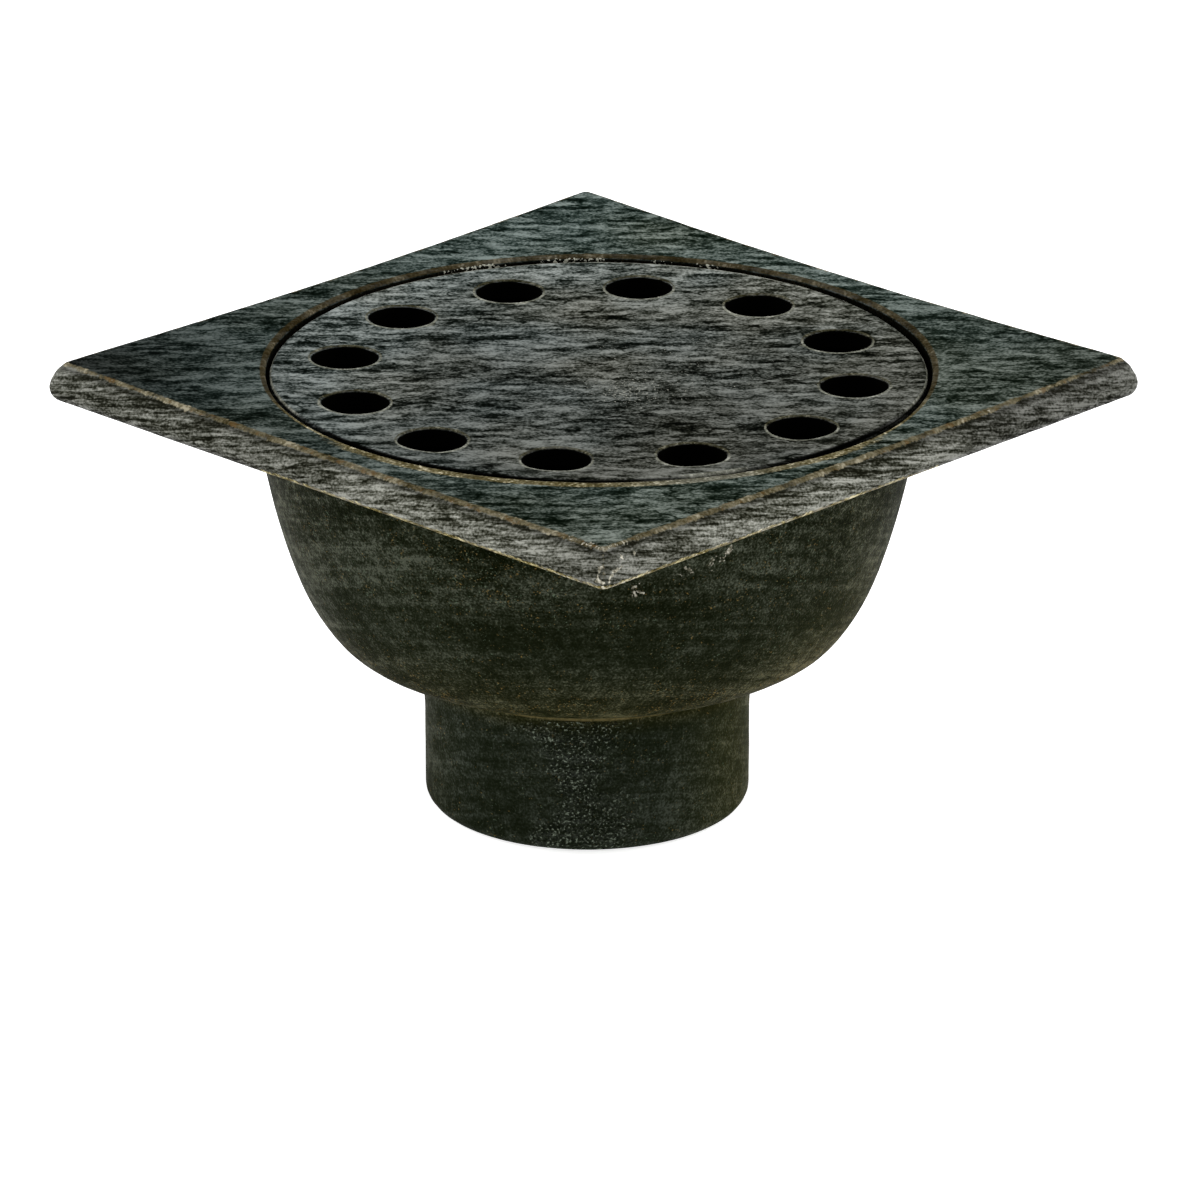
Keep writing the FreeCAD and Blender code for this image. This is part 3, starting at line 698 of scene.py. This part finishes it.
class Graph:
    """Short names for making a node material."""

    def __init__(self, name):
        self.mat = bpy.data.materials.new(name)
        self.mat.use_nodes = True
        self.tree = self.mat.node_tree
        self.tree.nodes.clear()
        self.out = self.tree.nodes.new("ShaderNodeOutputMaterial")
        self.bsdf = self.tree.nodes.new("ShaderNodeBsdfPrincipled")
        self.tree.links.new(self.bsdf.outputs[0], self.out.inputs["Surface"])
        self.coord = self.tree.nodes.new("ShaderNodeTexCoord").outputs["Object"]

    def put(self, socket, value):
        if value is None:
            return
        if isinstance(value, bpy.types.NodeSocket):
            self.tree.links.new(value, socket)
        else:
            socket.default_value = value

    def math(self, op, a, b=None, c=None, clamp=False):
        n = self.tree.nodes.new("ShaderNodeMath")
        n.operation = op
        n.use_clamp = clamp
        for i, v in enumerate((a, b, c)):
            self.put(n.inputs[i], v)
        return n.outputs[0]

    def mul(self, a, b, clamp=False):
        return self.math("MULTIPLY", a, b, clamp=clamp)

    def add(self, a, b, clamp=False):
        return self.math("ADD", a, b, clamp=clamp)

    def sub(self, a, b, clamp=False):
        return self.math("SUBTRACT", a, b, clamp=clamp)

    def attr(self, name):
        n = self.tree.nodes.new("ShaderNodeAttribute")
        n.attribute_type = "GEOMETRY"
        n.attribute_name = name
        return n.outputs["Fac"]

    def along_streaks(self, s, t, w, shift=(0, 0, 0)):
        """Coordinates that run along the streaks, divided by these sizes in mm."""
        n = self.tree.nodes.new("ShaderNodeMapping")
        n.vector_type = "TEXTURE"
        az, el = STREAK_TURN, STREAK_TILT
        right = Vector((math.cos(az), math.sin(az), 0))
        up = Vector((-math.sin(az) * math.sin(el), math.cos(az) * math.sin(el), math.cos(el)))
        third = right.cross(up)
        turn = Matrix((right, up, third)).transposed().to_euler("XYZ")
        n.inputs["Rotation"].default_value = turn
        n.inputs["Scale"].default_value = (s * MM, t * MM, w * MM)
        n.inputs["Location"].default_value = tuple(v * MM for v in shift)
        self.put(n.inputs["Vector"], self.coord)
        return n.outputs[0]

    def scaled(self, x, y, z, shift=(0, 0, 0)):
        n = self.tree.nodes.new("ShaderNodeMapping")
        n.vector_type = "TEXTURE"
        n.inputs["Scale"].default_value = (x * MM, y * MM, z * MM)
        n.inputs["Location"].default_value = tuple(v * MM for v in shift)
        self.put(n.inputs["Vector"], self.coord)
        return n.outputs[0]

    def noise(self, vector, scale=1.0, detail=2.0, rough=0.5, distortion=0.0, colour=False):
        n = self.tree.nodes.new("ShaderNodeTexNoise")
        n.inputs["Scale"].default_value = scale
        n.inputs["Detail"].default_value = detail
        n.inputs["Roughness"].default_value = rough
        n.inputs["Distortion"].default_value = distortion
        self.put(n.inputs["Vector"], vector)
        return n.outputs["Color" if colour else "Fac"]

    def cells(self, vector, scale=1.0, feature="F1"):
        n = self.tree.nodes.new("ShaderNodeTexVoronoi")
        n.feature = feature
        n.inputs["Scale"].default_value = scale
        self.put(n.inputs["Vector"], vector)
        return n.outputs["Distance"]

    def shift_by(self, vector, amount, by):
        """vector + (noise colour - 0.5) * amount, to make the streaks wavy."""
        a = self.tree.nodes.new("ShaderNodeVectorMath")
        a.operation = "SUBTRACT"
        self.put(a.inputs[0], by)
        a.inputs[1].default_value = (0.5, 0.5, 0.5)
        b = self.tree.nodes.new("ShaderNodeVectorMath")
        b.operation = "MULTIPLY"
        self.put(b.inputs[0], a.outputs[0])
        b.inputs[1].default_value = amount
        c = self.tree.nodes.new("ShaderNodeVectorMath")
        c.operation = "ADD"
        self.put(c.inputs[0], vector)
        self.put(c.inputs[1], b.outputs[0])
        return c.outputs[0]

    def step(self, value, lo, hi, a=0.0, b=1.0, smooth_it=True):
        n = self.tree.nodes.new("ShaderNodeMapRange")
        n.interpolation_type = "SMOOTHSTEP" if smooth_it else "LINEAR"
        self.put(n.inputs["Value"], value)
        n.inputs["From Min"].default_value = lo
        n.inputs["From Max"].default_value = hi
        n.inputs["To Min"].default_value = a
        n.inputs["To Max"].default_value = b
        return n.outputs[0]

    def stroke(self, place, a, b):
        """Distance in mm of a place from the line between two places given in mm."""
        def vec(op, p, q=None, by=None):
            n = self.tree.nodes.new("ShaderNodeVectorMath")
            n.operation = op
            self.put(n.inputs[0], p)
            if q is not None:
                self.put(n.inputs[1], q)
            if by is not None:
                self.put(n.inputs["Scale"], by)
            return n
        a, b = Vector(a) * MM, Vector(b) * MM
        way = b - a
        off = vec("SUBTRACT", place, tuple(a)).outputs[0]
        along = vec("DOT_PRODUCT", off, tuple(way / way.length_squared)).outputs["Value"]
        along = self.math("ADD", along, 0.0, clamp=True)
        on = vec("SCALE", tuple(way), by=along).outputs[0]
        return self.mul(vec("LENGTH", vec("SUBTRACT", off, on).outputs[0]).outputs["Value"], 1000.0)

    def ramp(self, value, stops, mode="LINEAR"):
        n = self.tree.nodes.new("ShaderNodeValToRGB")
        n.color_ramp.interpolation = mode
        e = n.color_ramp.elements
        e[0].position, e[0].color = stops[0]
        e[1].position, e[1].color = stops[-1]
        for pos, col in stops[1:-1]:
            k = e.new(pos)
            k.color = col
        self.put(n.inputs[0], value)
        return n.outputs[0]

    def mix(self, fac, a, b, blend="MIX"):
        n = self.tree.nodes.new("ShaderNodeMix")
        n.data_type = "RGBA"
        n.blend_type = blend
        n.clamp_factor = True
        self.put(n.inputs[0], fac)
        self.put(n.inputs[6], a)
        self.put(n.inputs[7], b)
        return n.outputs[2]

    def mixf(self, fac, a, b):
        n = self.tree.nodes.new("ShaderNodeMix")
        n.data_type = "FLOAT"
        n.clamp_factor = True
        self.put(n.inputs[0], fac)
        self.put(n.inputs[2], a)
        self.put(n.inputs[3], b)
        return n.outputs[0]

    def bump(self, height, strength, distance, normal=None):
        n = self.tree.nodes.new("ShaderNodeBump")
        n.inputs["Strength"].default_value = strength
        n.inputs["Distance"].default_value = distance * MM
        self.put(n.inputs["Height"], height)
        if normal is not None:
            self.put(n.inputs["Normal"], normal)
        return n.outputs[0]


def streaks(g, seed):
    """Wisps, clouds and grain of the coating, summed around 0.5."""
    wave = g.noise(g.along_streaks(24, 8, 24, (seed, 0, 0)), 1.0, 1.0, 0.5, colour=True)
    curl = g.noise(g.along_streaks(7, 2.4, 9, (0, seed, 3)), 1.0, 1.0, 0.5, colour=True)

    def wisp(s, t, w, shift, amount):
        v = g.shift_by(g.along_streaks(s, t, w, shift), (0.0, amount, 0.0), wave)
        return g.shift_by(v, (0.25, amount, 0.0), curl)

    a = g.sub(g.noise(wisp(4.4, 0.66, 8, (seed, seed, 0), 1.0), 1.0, 2.5, 0.62), 0.5)
    b = g.sub(g.noise(wisp(13, 0.85, 20, (3 + seed, 7, 0), 1.1), 1.0, 2.0, 0.6), 0.5)
    c = g.sub(g.noise(g.along_streaks(0.62, 0.45, 0.62, (0, seed, 5)), 1.0, 1.0, 0.55), 0.5)
    d = g.sub(g.noise(wisp(30, 3.6, 40, (seed, 2, 1), 0.4), 1.0, 2.0, 0.6), 0.5)
    # thin dark threads and thin light ones
    e = g.math("ABSOLUTE", g.sub(g.noise(wisp(8.5, 1.25, 13, (9, seed, 4), 1.1), 1.0, 1.0, 0.5), 0.5))
    f = g.math("ABSOLUTE", g.sub(g.noise(wisp(7.0, 1.1, 11, (1, 4 + seed, 8), 1.1), 1.0, 1.0, 0.5), 0.5))
    dark = g.mul(g.step(e, 0.045, 0.0), g.step(d, 0.06, -0.06, 0.25, 1.0))
    light = g.mul(g.step(f, 0.035, 0.0), g.step(d, -0.06, 0.06, 0.25, 1.0))
    total = g.add(g.add(g.mul(a, 0.66), g.mul(b, 0.46)), g.add(g.mul(c, 0.44), g.mul(d, 0.26)))
    total = g.add(total, g.sub(g.mul(light, 0.07), g.mul(dark, 0.13)))
    total = g.add(total, 0.51)
    total.node.name = "probe_mixed"
    return total


SHARES = (-2.05, -1.28, -0.67, 0.0, 0.67, 1.28, 2.05)      # of a normal spread: 2, 10, 25, 50, 75, 90, 98 %


def tones(g, value, spread, lights, tint, gain=1.0):
    """Ramp over a noise around 0.5: these display values at those shares of it."""
    middle = lights[3]
    stops = []
    for share, light in zip(SHARES, lights):
        light = middle + (light - middle) * gain
        stops.append((0.5 + spread * share, lin(*(max(light + c, 1.0) for c in tint))))
    return g.ramp(value, stops)


# bare strokes in the coating: at the foot of the front corner, and on the bowl under the edge
STROKES = (
    ((74.4, -75.25, TOP - 3.0), (74.5, -75.9, TOP - 5.2), 0.32),
    ((74.5, -75.9, TOP - 5.2), (75.1, -74.97, TOP - 6.5), 0.50),
    ((75.1, -74.97, TOP - 6.5), (74.5, -74.3, TOP - 7.5), 0.30),
    ((74.5, -74.2, TOP - 7.6), (74.7, -71.1, TOP - 7.5), 0.36),
    ((75.7, -74.3, TOP - 6.1), (76.0, -73.6, TOP - 4.3), 0.34),
    ((76.0, -73.6, TOP - 4.3), (75.9, -71.2, TOP - 3.6), 0.30),
    ((74.9, -70.3, TOP - 1.8), (74.9, -70.2, TOP - 2.1), 0.34),
    ((75.1, -66.9, TOP - 2.2), (75.1, -66.8, TOP - 2.5), 0.34),
    ((59.0, -23.4, 74.0), (58.0, -24.8, 71.9), 0.48),
    ((57.3, -26.6, 72.4), (56.7, -27.1, 70.9), 0.34),
    ((54.5, -31.5, 70.9), (55.0, -30.0, 69.9), 0.30),
    ((53.2, -33.1, 69.4), (53.9, -32.1, 69.7), 0.30),
    ((48.5, -39.2, 67.4), (48.6, -38.7, 65.8), 0.38),
    ((49.1, -38.1, 66.3), (49.4, -37.7, 66.2), 0.34),
)


def body_material():
    g = Graph("cast_iron_body")
    mixed = streaks(g, 0)
    warm = tones(g, mixed, 0.088, (20, 36, 49, 65, 82, 96, 114), (-5, 3, -5), 1.34)
    cool = tones(g, mixed, 0.088, (20, 36, 49, 65, 82, 96, 114), (-8, 3, -1), 1.34)
    top = g.mix(g.attr("warm"), cool, warm)
    band = tones(g, mixed, 0.088, (26, 41, 55, 73, 89, 104, 124), (0, 1, -8), 1.26)
    # sand-cast skin: grain, faint level streaks, browner patches
    grain = g.noise(g.scaled(0.46, 0.46, 0.46), 1.0, 1.5, 0.6)
    coarse = g.noise(g.scaled(2.6, 2.6, 2.2, (4, 4, 0)), 1.0, 2.0, 0.55)
    level = g.noise(g.along_streaks(30, 1.5, 30, (0, 0, 3)), 1.0, 3.0, 0.62)
    cloud = g.noise(g.scaled(24, 24, 16, (9, 0, 0)), 1.0, 2.0, 0.5)
    skin_f = g.add(g.add(g.mul(grain, 0.36), g.mul(coarse, 0.22)), g.add(g.mul(level, 0.22), g.mul(cloud, 0.20)))
    skin_f.node.name = "probe_skin"
    low = g.tree.nodes.new("ShaderNodeSeparateXYZ")
    g.put(low.inputs[0], g.coord)
    skin_s = (14, 18, 22, 27, 33, 41, 56)
    mottled = g.ramp(g.mul(low.outputs["Z"], 10.0), [
        (0.25, (0, 0, 0, 1)), (0.30, (0.55, 0.55, 0.55, 1)), (0.42, (0.45, 0.45, 0.45, 1)), (0.52, (0.22, 0.22, 0.22, 1)),
        (0.62, (0.5, 0.5, 0.5, 1)), (0.74, (1, 1, 1, 1))])
    skin = g.mix(mottled, tones(g, skin_f, 0.045, skin_s, (-2, 2, -10), 0.75), tones(g, skin_f, 0.045, skin_s, (-2, 2, -10), 1.45))
    brown = g.step(low.outputs["Z"], 0.052, 0.030)
    brown = g.mul(brown, g.step(low.outputs["Z"], 0.024, 0.029))
    skin = g.mix(g.mul(brown, 0.9), skin, g.mix(1.0, skin, (1.5, 1.2, 0.66, 1), "MULTIPLY"))
    # painted sheen with a tan tint towards the bowl's sides, more on its right
    flank_sheen = g.attr("flank_sheen")
    skin = g.mix(flank_sheen, skin, g.mix(1.0, skin, (1.22, 1.10, 0.78, 1), "MULTIPLY"))
    spigot = g.step(low.outputs["Z"], 0.031, 0.026)
    skin = g.mix(spigot, skin, g.mix(1.0, skin, (1.16, 1.20, 1.42, 1), "MULTIPLY"))
    skin = g.mix(g.attr("right_flank_sheen"), skin, g.mix(1.0, skin, (1.66, 1.47, 1.14, 1), "MULTIPLY"))
    dots_n = g.noise(g.scaled(0.43, 0.43, 0.38, (6, 2, 9)), 1.0, 1.0, 0.6)
    spread = g.noise(g.scaled(6, 6, 4, (6, 2, 9)), 1.0, 2.0, 0.6)
    dotty = g.attr("dotty")
    thick = g.add(g.mul(g.sub(spread, 0.5), 0.35), g.mul(dotty, 0.085))
    dots = g.step(g.add(dots_n, thick), 0.69, 0.79)
    dots_hue = g.noise(g.scaled(1.1, 1.1, 1.1, (2, 2, 2)), 1.0, 1.0, 0.5)
    golden = g.add(g.mul(brown, 0.6), g.step(dots_hue, 0.44, 0.60), clamp=True)
    dots_col = g.mix(golden, lin(84, 98, 80), lin(114, 94, 52))
    skin = g.mix(g.mul(dots, 0.62), skin, dots_col)
    # painted shade: the seat's ledge and wall and the insides of bowl and standpipe are coloured near black
    inside = g.ramp(g.add(g.mul(grain, 0.6), g.mul(cloud, 0.4)), [
        (0.35, lin(3, 4, 2)), (0.48, lin(9, 9, 6)), (0.56, lin(18, 17, 10)), (0.66, lin(34, 29, 17))])
    # worn edges, tan to brown, with light specks
    wear_n = g.noise(g.scaled(3.2, 3.2, 3.2, (1, 1, 1)), 1.0, 3.0, 0.6)
    fleck = g.noise(g.scaled(0.7, 0.7, 0.7, (2, 5, 0)), 1.0, 1.5, 0.6)
    both = g.add(g.mul(wear_n, 0.5), g.mul(fleck, 0.5))
    both.node.name = "probe_both"
    shade_n = g.noise(g.scaled(9, 9, 9, (4, 1, 6)), 1.0, 3.0, 0.6)
    mark = g.add(g.mul(both, 0.55), g.mul(shade_n, 0.45))
    tan = tones(g, mark, 0.050, (34, 50, 66, 82, 97, 114, 150), (7, 0, -22))
    stain = g.noise(g.scaled(2.2, 2.2, 2.2, (5, 9, 2)), 1.0, 2.0, 0.6)
    tan = g.mix(g.step(stain, 0.56, 0.66, 0.0, 0.7), tan, lin(92, 70, 38))
    gold = tones(g, both, 0.057, (28, 42, 58, 78, 100, 128, 176), (13, 3, -38))
    rust = tones(g, mark, 0.050, (24, 32, 39, 47, 56, 68, 100), (7, 0, -18))
    pale = tones(g, both, 0.057, (48, 60, 72, 88, 106, 132, 190), (9, 1, -28))
    grey = tones(g, both, 0.057, (62, 74, 86, 98, 112, 128, 160), (2, 1, -12))
    a_top, a_band, a_skin, a_in = (g.attr(k) for k in ("top", "band", "skin", "inside"))
    edge = g.attr("edge")
    ragged = g.add(edge, g.mul(g.sub(g.add(g.mul(wear_n, 0.55), g.mul(fleck, 0.45)), 0.5), 1.5))
    edge_f = g.mul(g.step(ragged, 0.36, 0.68), g.step(edge, 0.02, 0.2))
    colour = g.mix(a_band, top, band)
    # lightness of the top, and wear with painted shade on the band
    wear_shade_factor = g.mixf(a_band, g.attr("light"), g.attr("band_wear_shade"))
    colour = g.mix(g.sub(1.0, a_skin), colour, g.mix(1.0, colour, wear_shade_factor, "MULTIPLY"))
    colour = g.mix(a_skin, colour, skin)
    colour = g.mix(a_in, colour, inside)
    # painted shade: the dark line under the ridge and the far stretches of the lower edge
    colour = g.mix(g.mul(g.attr("dark"), 0.85), colour, lin(20, 20, 12))
    colour = g.mix(g.mul(edge_f, 0.92), colour, tan)
    rim = g.attr("rim")
    rim_f = g.mul(g.step(g.add(rim, g.mul(g.sub(both, 0.5), 0.7)), 0.25, 0.6), g.step(rim, 0.02, 0.2))
    rim_col = g.mix(g.step(g.attr("near"), 0.15, 0.6), rust, g.mix(g.attr("bright"), pale, grey))
    colour = g.mix(g.mul(rim_f, 0.95), colour, rim_col)
    under = g.attr("under")
    under_f = g.mul(g.step(g.add(under, g.mul(g.sub(both, 0.5), 1.3)), 0.30, 0.62), g.step(under, 0.04, 0.25))
    colour = g.mix(g.mul(under_f, 0.95), colour, gold)
    # painted highlight along the bowl's foot and the spigot's root, lighter at the flanks
    root = g.attr("root")
    root_highlight_col = g.mix(flank_sheen, lin(84, 76, 48), lin(128, 112, 74))
    colour = g.mix(g.mul(g.step(root, 0.35, 0.85), g.step(both, 0.40, 0.55, 0.4, 0.9)), colour, root_highlight_col)
    # painted glints: bright specks along the back of the seat's wall
    glint_noise = g.noise(g.scaled(0.66, 0.66, 0.55, (3, 3, 3)), 1.0, 1.0, 0.5)
    glint_mask = g.step(g.add(glint_noise, g.mul(g.attr("glint"), 0.16)), 0.66, 0.72)
    colour = g.mix(g.mul(glint_mask, g.step(g.attr("glint"), 0.1, 0.4)), colour, lin(196, 196, 180))
    # bare chips
    chip_n = g.noise(g.scaled(0.85, 0.85, 0.85, (7, 7, 7)), 1.0, 2.0, 0.6)
    chip = g.mul(g.step(g.add(chip_n, g.mul(g.attr("chip"), 0.155)), 0.69, 0.76), g.step(g.attr("chip"), 0.08, 0.3))
    bent = g.shift_by(g.coord, (0.0011, 0.0011, 0.0011), g.noise(g.scaled(1.3, 1.3, 1.3, (2, 2, 7)), 1.0, 1.0, 0.5, colour=True))
    for start, end, wide in STROKES:
        off = g.mul(g.stroke(bent, start, end), 1.0 / wide)
        off = g.add(off, g.mul(g.sub(chip_n, 0.5), 5.5))
        chip = g.math("MAXIMUM", chip, g.step(off, 0.95, 0.35))
    chip_col = tones(g, fleck, 0.085, (84, 104, 128, 154, 178, 200, 222), (4, 0, -16))
    colour = g.mix(g.mul(chip, g.sub(0.84, g.mul(a_skin, 0.24))), colour, chip_col)
    # painted highlights and painted shade where the skin is rough: pale bump tops and dark gaps between them
    speck_n = g.noise(g.scaled(0.54, 0.54, 0.48, (3, 8, 1)), 1.0, 1.0, 0.5)
    rough_a = g.attr("rough")
    peel = g.mul(a_skin, g.step(g.add(rough_a, g.mul(g.sub(coarse, 0.5), 0.8)), 0.2, 0.6))
    colour = g.mix(g.mul(peel, g.step(speck_n, 0.50, 0.38, 0.0, 0.6)), colour, lin(15, 19, 14))
    colour = g.mix(g.mul(peel, g.step(speck_n, 0.57, 0.76, 0.0, 0.9)), colour, lin(118, 127, 112))
    g.put(g.bsdf.inputs["Base Color"], colour)
    rough = g.add(0.50, g.mul(g.sub(0.5, mixed), 0.5))
    rough = g.mixf(a_skin, rough, g.add(0.56, g.mul(g.sub(grain, 0.5), 0.3)))
    rough = g.mixf(edge_f, rough, 0.42)
    g.put(g.bsdf.inputs["Roughness"], rough)
    # the light streaks of the coating shine more than the dark ones
    shine = g.mixf(a_skin, g.step(mixed, 0.42, 0.66, 0.01, 0.16), g.step(skin_f, 0.46, 0.62, 0.005, 0.04))
    shine = g.mul(shine, g.sub(1.0, a_in))
    g.put(g.bsdf.inputs["Specular IOR Level"], shine)
    # relief
    h_flat = g.mul(g.sub(1.0, a_skin), mixed)
    n1 = g.bump(h_flat, 0.5, 0.10)
    h_skin = g.mul(g.add(g.mul(grain, 1.0), g.mul(coarse, 1.3)), g.add(g.mul(a_skin, 0.9), g.mul(a_in, 0.5)))
    n2 = g.bump(h_skin, 0.8, 0.32, n1)
    n3 = g.bump(g.mul(speck_n, peel), 0.9, 0.6, n2)
    g.put(g.bsdf.inputs["Normal"], n3)
    return g.mat


def strainer_material():
    g = Graph("cast_iron_strainer")
    mixed = streaks(g, 40)
    cool = tones(g, mixed, 0.088, (24, 40, 60, 82, 102, 119, 138), (-5, 2, -1), 1.36)
    warm = tones(g, mixed, 0.088, (24, 40, 60, 82, 102, 119, 138), (-1, 1, -7), 1.36)
    colour = g.mix(g.attr("warm"), cool, warm)
    colour = g.mix(1.0, colour, g.attr("light"), "MULTIPLY")
    # painted shade: near black for the underside and bell
    inside = lin(11, 11, 8)
    wear_n = g.noise(g.scaled(2.6, 2.6, 2.6, (1, 4, 1)), 1.0, 3.0, 0.6)
    fleck = g.noise(g.scaled(0.6, 0.6, 0.6, (2, 5, 3)), 1.0, 1.5, 0.6)
    both = g.add(g.mul(wear_n, 0.5), g.mul(fleck, 0.5))
    light = tones(g, both, 0.058, (78, 92, 104, 118, 132, 148, 176), (1, 2, -10))
    brown = tones(g, both, 0.058, (30, 38, 45, 56, 68, 84, 120), (3, 1, -16))
    near = g.attr("near")
    mouth = g.attr("mouth")
    # painted highlight on the holes' near lips, and painted light brown on the top of their far walls
    mouth_highlight_col = g.mix(g.step(near, -0.35, 0.35), brown, light)
    mouth_f = g.step(g.add(mouth, g.mul(g.sub(both, 0.5), 0.9)), 0.38, 0.72)
    colour = g.mix(g.mul(g.mul(mouth_f, g.step(mouth, 0.02, 0.2)), 0.85), colour, mouth_highlight_col)
    edge = g.attr("edge")
    edge_f = g.mul(g.step(g.add(edge, g.mul(g.sub(both, 0.5), 0.8)), 0.4, 0.85), g.step(edge, 0.02, 0.2))
    colour = g.mix(g.mul(edge_f, 0.9), colour, light)
    grit = g.noise(g.scaled(0.5, 0.5, 0.5, (8, 1, 4)), 1.0, 1.0, 0.5)
    speck = g.attr("speck")
    speck_f = g.mul(g.step(g.add(grit, g.mul(speck, 0.09)), 0.72, 0.80), g.step(speck, 0.05, 0.3))
    colour = g.mix(speck_f, colour, lin(176, 176, 164))
    # painted shade: the margin's side wall, the underside and bell, and the holes' walls are coloured near black
    colour = g.mix(g.attr("side"), colour, lin(3, 3, 2))
    colour = g.mix(g.attr("inside"), colour, inside)
    colour = g.mix(g.attr("hole"), colour, lin(4, 4, 3))
    g.put(g.bsdf.inputs["Base Color"], colour)
    rough = g.add(0.5, g.mul(g.sub(0.5, mixed), 0.5))
    rough = g.mixf(g.attr("hole"), rough, 0.9)
    g.put(g.bsdf.inputs["Roughness"], rough)
    shine = g.step(mixed, 0.42, 0.66, 0.01, 0.2)
    shine = g.mul(shine, g.sub(1.0, g.attr("hole")))
    shine = g.mul(g.mul(shine, g.sub(1.0, g.attr("side"))), g.sub(1.0, g.attr("inside")))
    g.put(g.bsdf.inputs["Specular IOR Level"], shine)
    grain = g.noise(g.scaled(0.7, 0.7, 0.7), 1.0, 2.0, 0.6)
    n1 = g.bump(g.mul(mixed, g.attr("top")), 0.5, 0.10)
    n2 = g.bump(g.mul(grain, g.attr("inside")), 0.7, 0.3, n1)
    g.put(g.bsdf.inputs["Normal"], n2)
    return g.mat


body.data.materials.append(body_material())
strainer.data.materials.append(strainer_material())
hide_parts("trap_body")
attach(body, "root")
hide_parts("strainer_bell")
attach(strainer, "root")


# -------------------------------------------------------------------- stage
def make_stage():
    me = bpy.data.meshes.new("floor")
    s = 6.0
    me.from_pydata([(-s, -s, 0), (s, -s, 0), (s, s, 0), (-s, s, 0)], [], [(0, 1, 2, 3)])
    floor = bpy.data.objects.new("floor", me)
    bpy.context.scene.collection.objects.link(floor)
    m = bpy.data.materials.new("floor_white")
    m.use_nodes = True
    b = m.node_tree.nodes["Principled BSDF"]
    b.inputs["Base Color"].default_value = (0.93, 0.93, 0.93, 1)
    b.inputs["Roughness"].default_value = 0.9
    b.inputs["Specular IOR Level"].default_value = 0.0
    b.inputs["Emission Color"].default_value = (1, 1, 1, 1)
    b.inputs["Emission Strength"].default_value = 0.8
    me.materials.append(m)
    world = bpy.data.worlds.new("studio")
    world.use_nodes = True
    bg = world.node_tree.nodes["Background"]
    bg.inputs["Color"].default_value = (1.0, 1.0, 1.0, 1)
    bg.inputs["Strength"].default_value = 0.08
    bpy.context.scene.world = world

    def softbox(name, place, aim, size, power):
        data = bpy.data.lights.new(name, "AREA")
        data.shape = "RECTANGLE"
        data.size, data.size_y = size
        data.energy = power
        ob = bpy.data.objects.new(name, data)
        bpy.context.scene.collection.objects.link(ob)
        ob.location = place
        ob.rotation_euler = (Vector(aim) - Vector(place)).to_track_quat("-Z", "Y").to_euler()

    right = Vector((math.cos(STREAK_TURN), math.sin(STREAK_TURN), 0))
    front = Vector((math.sin(STREAK_TURN), -math.cos(STREAK_TURN), 0))
    aim = (0, 0, 0.05)
    softbox("soft_left", -1.5 * right - 0.35 * front + Vector((0, 0, 0.55)), aim, (1.1, 1.1), 18)
    softbox("soft_right", 1.5 * right - 0.35 * front + Vector((0, 0, 0.55)), aim, (1.1, 1.1), 18)
    softbox("soft_top", 0.3 * front + Vector((0, 0, 2.4)), aim, (3.2, 3.2), 60)
    bpy.context.scene.view_settings.view_transform = "Standard"


make_stage()
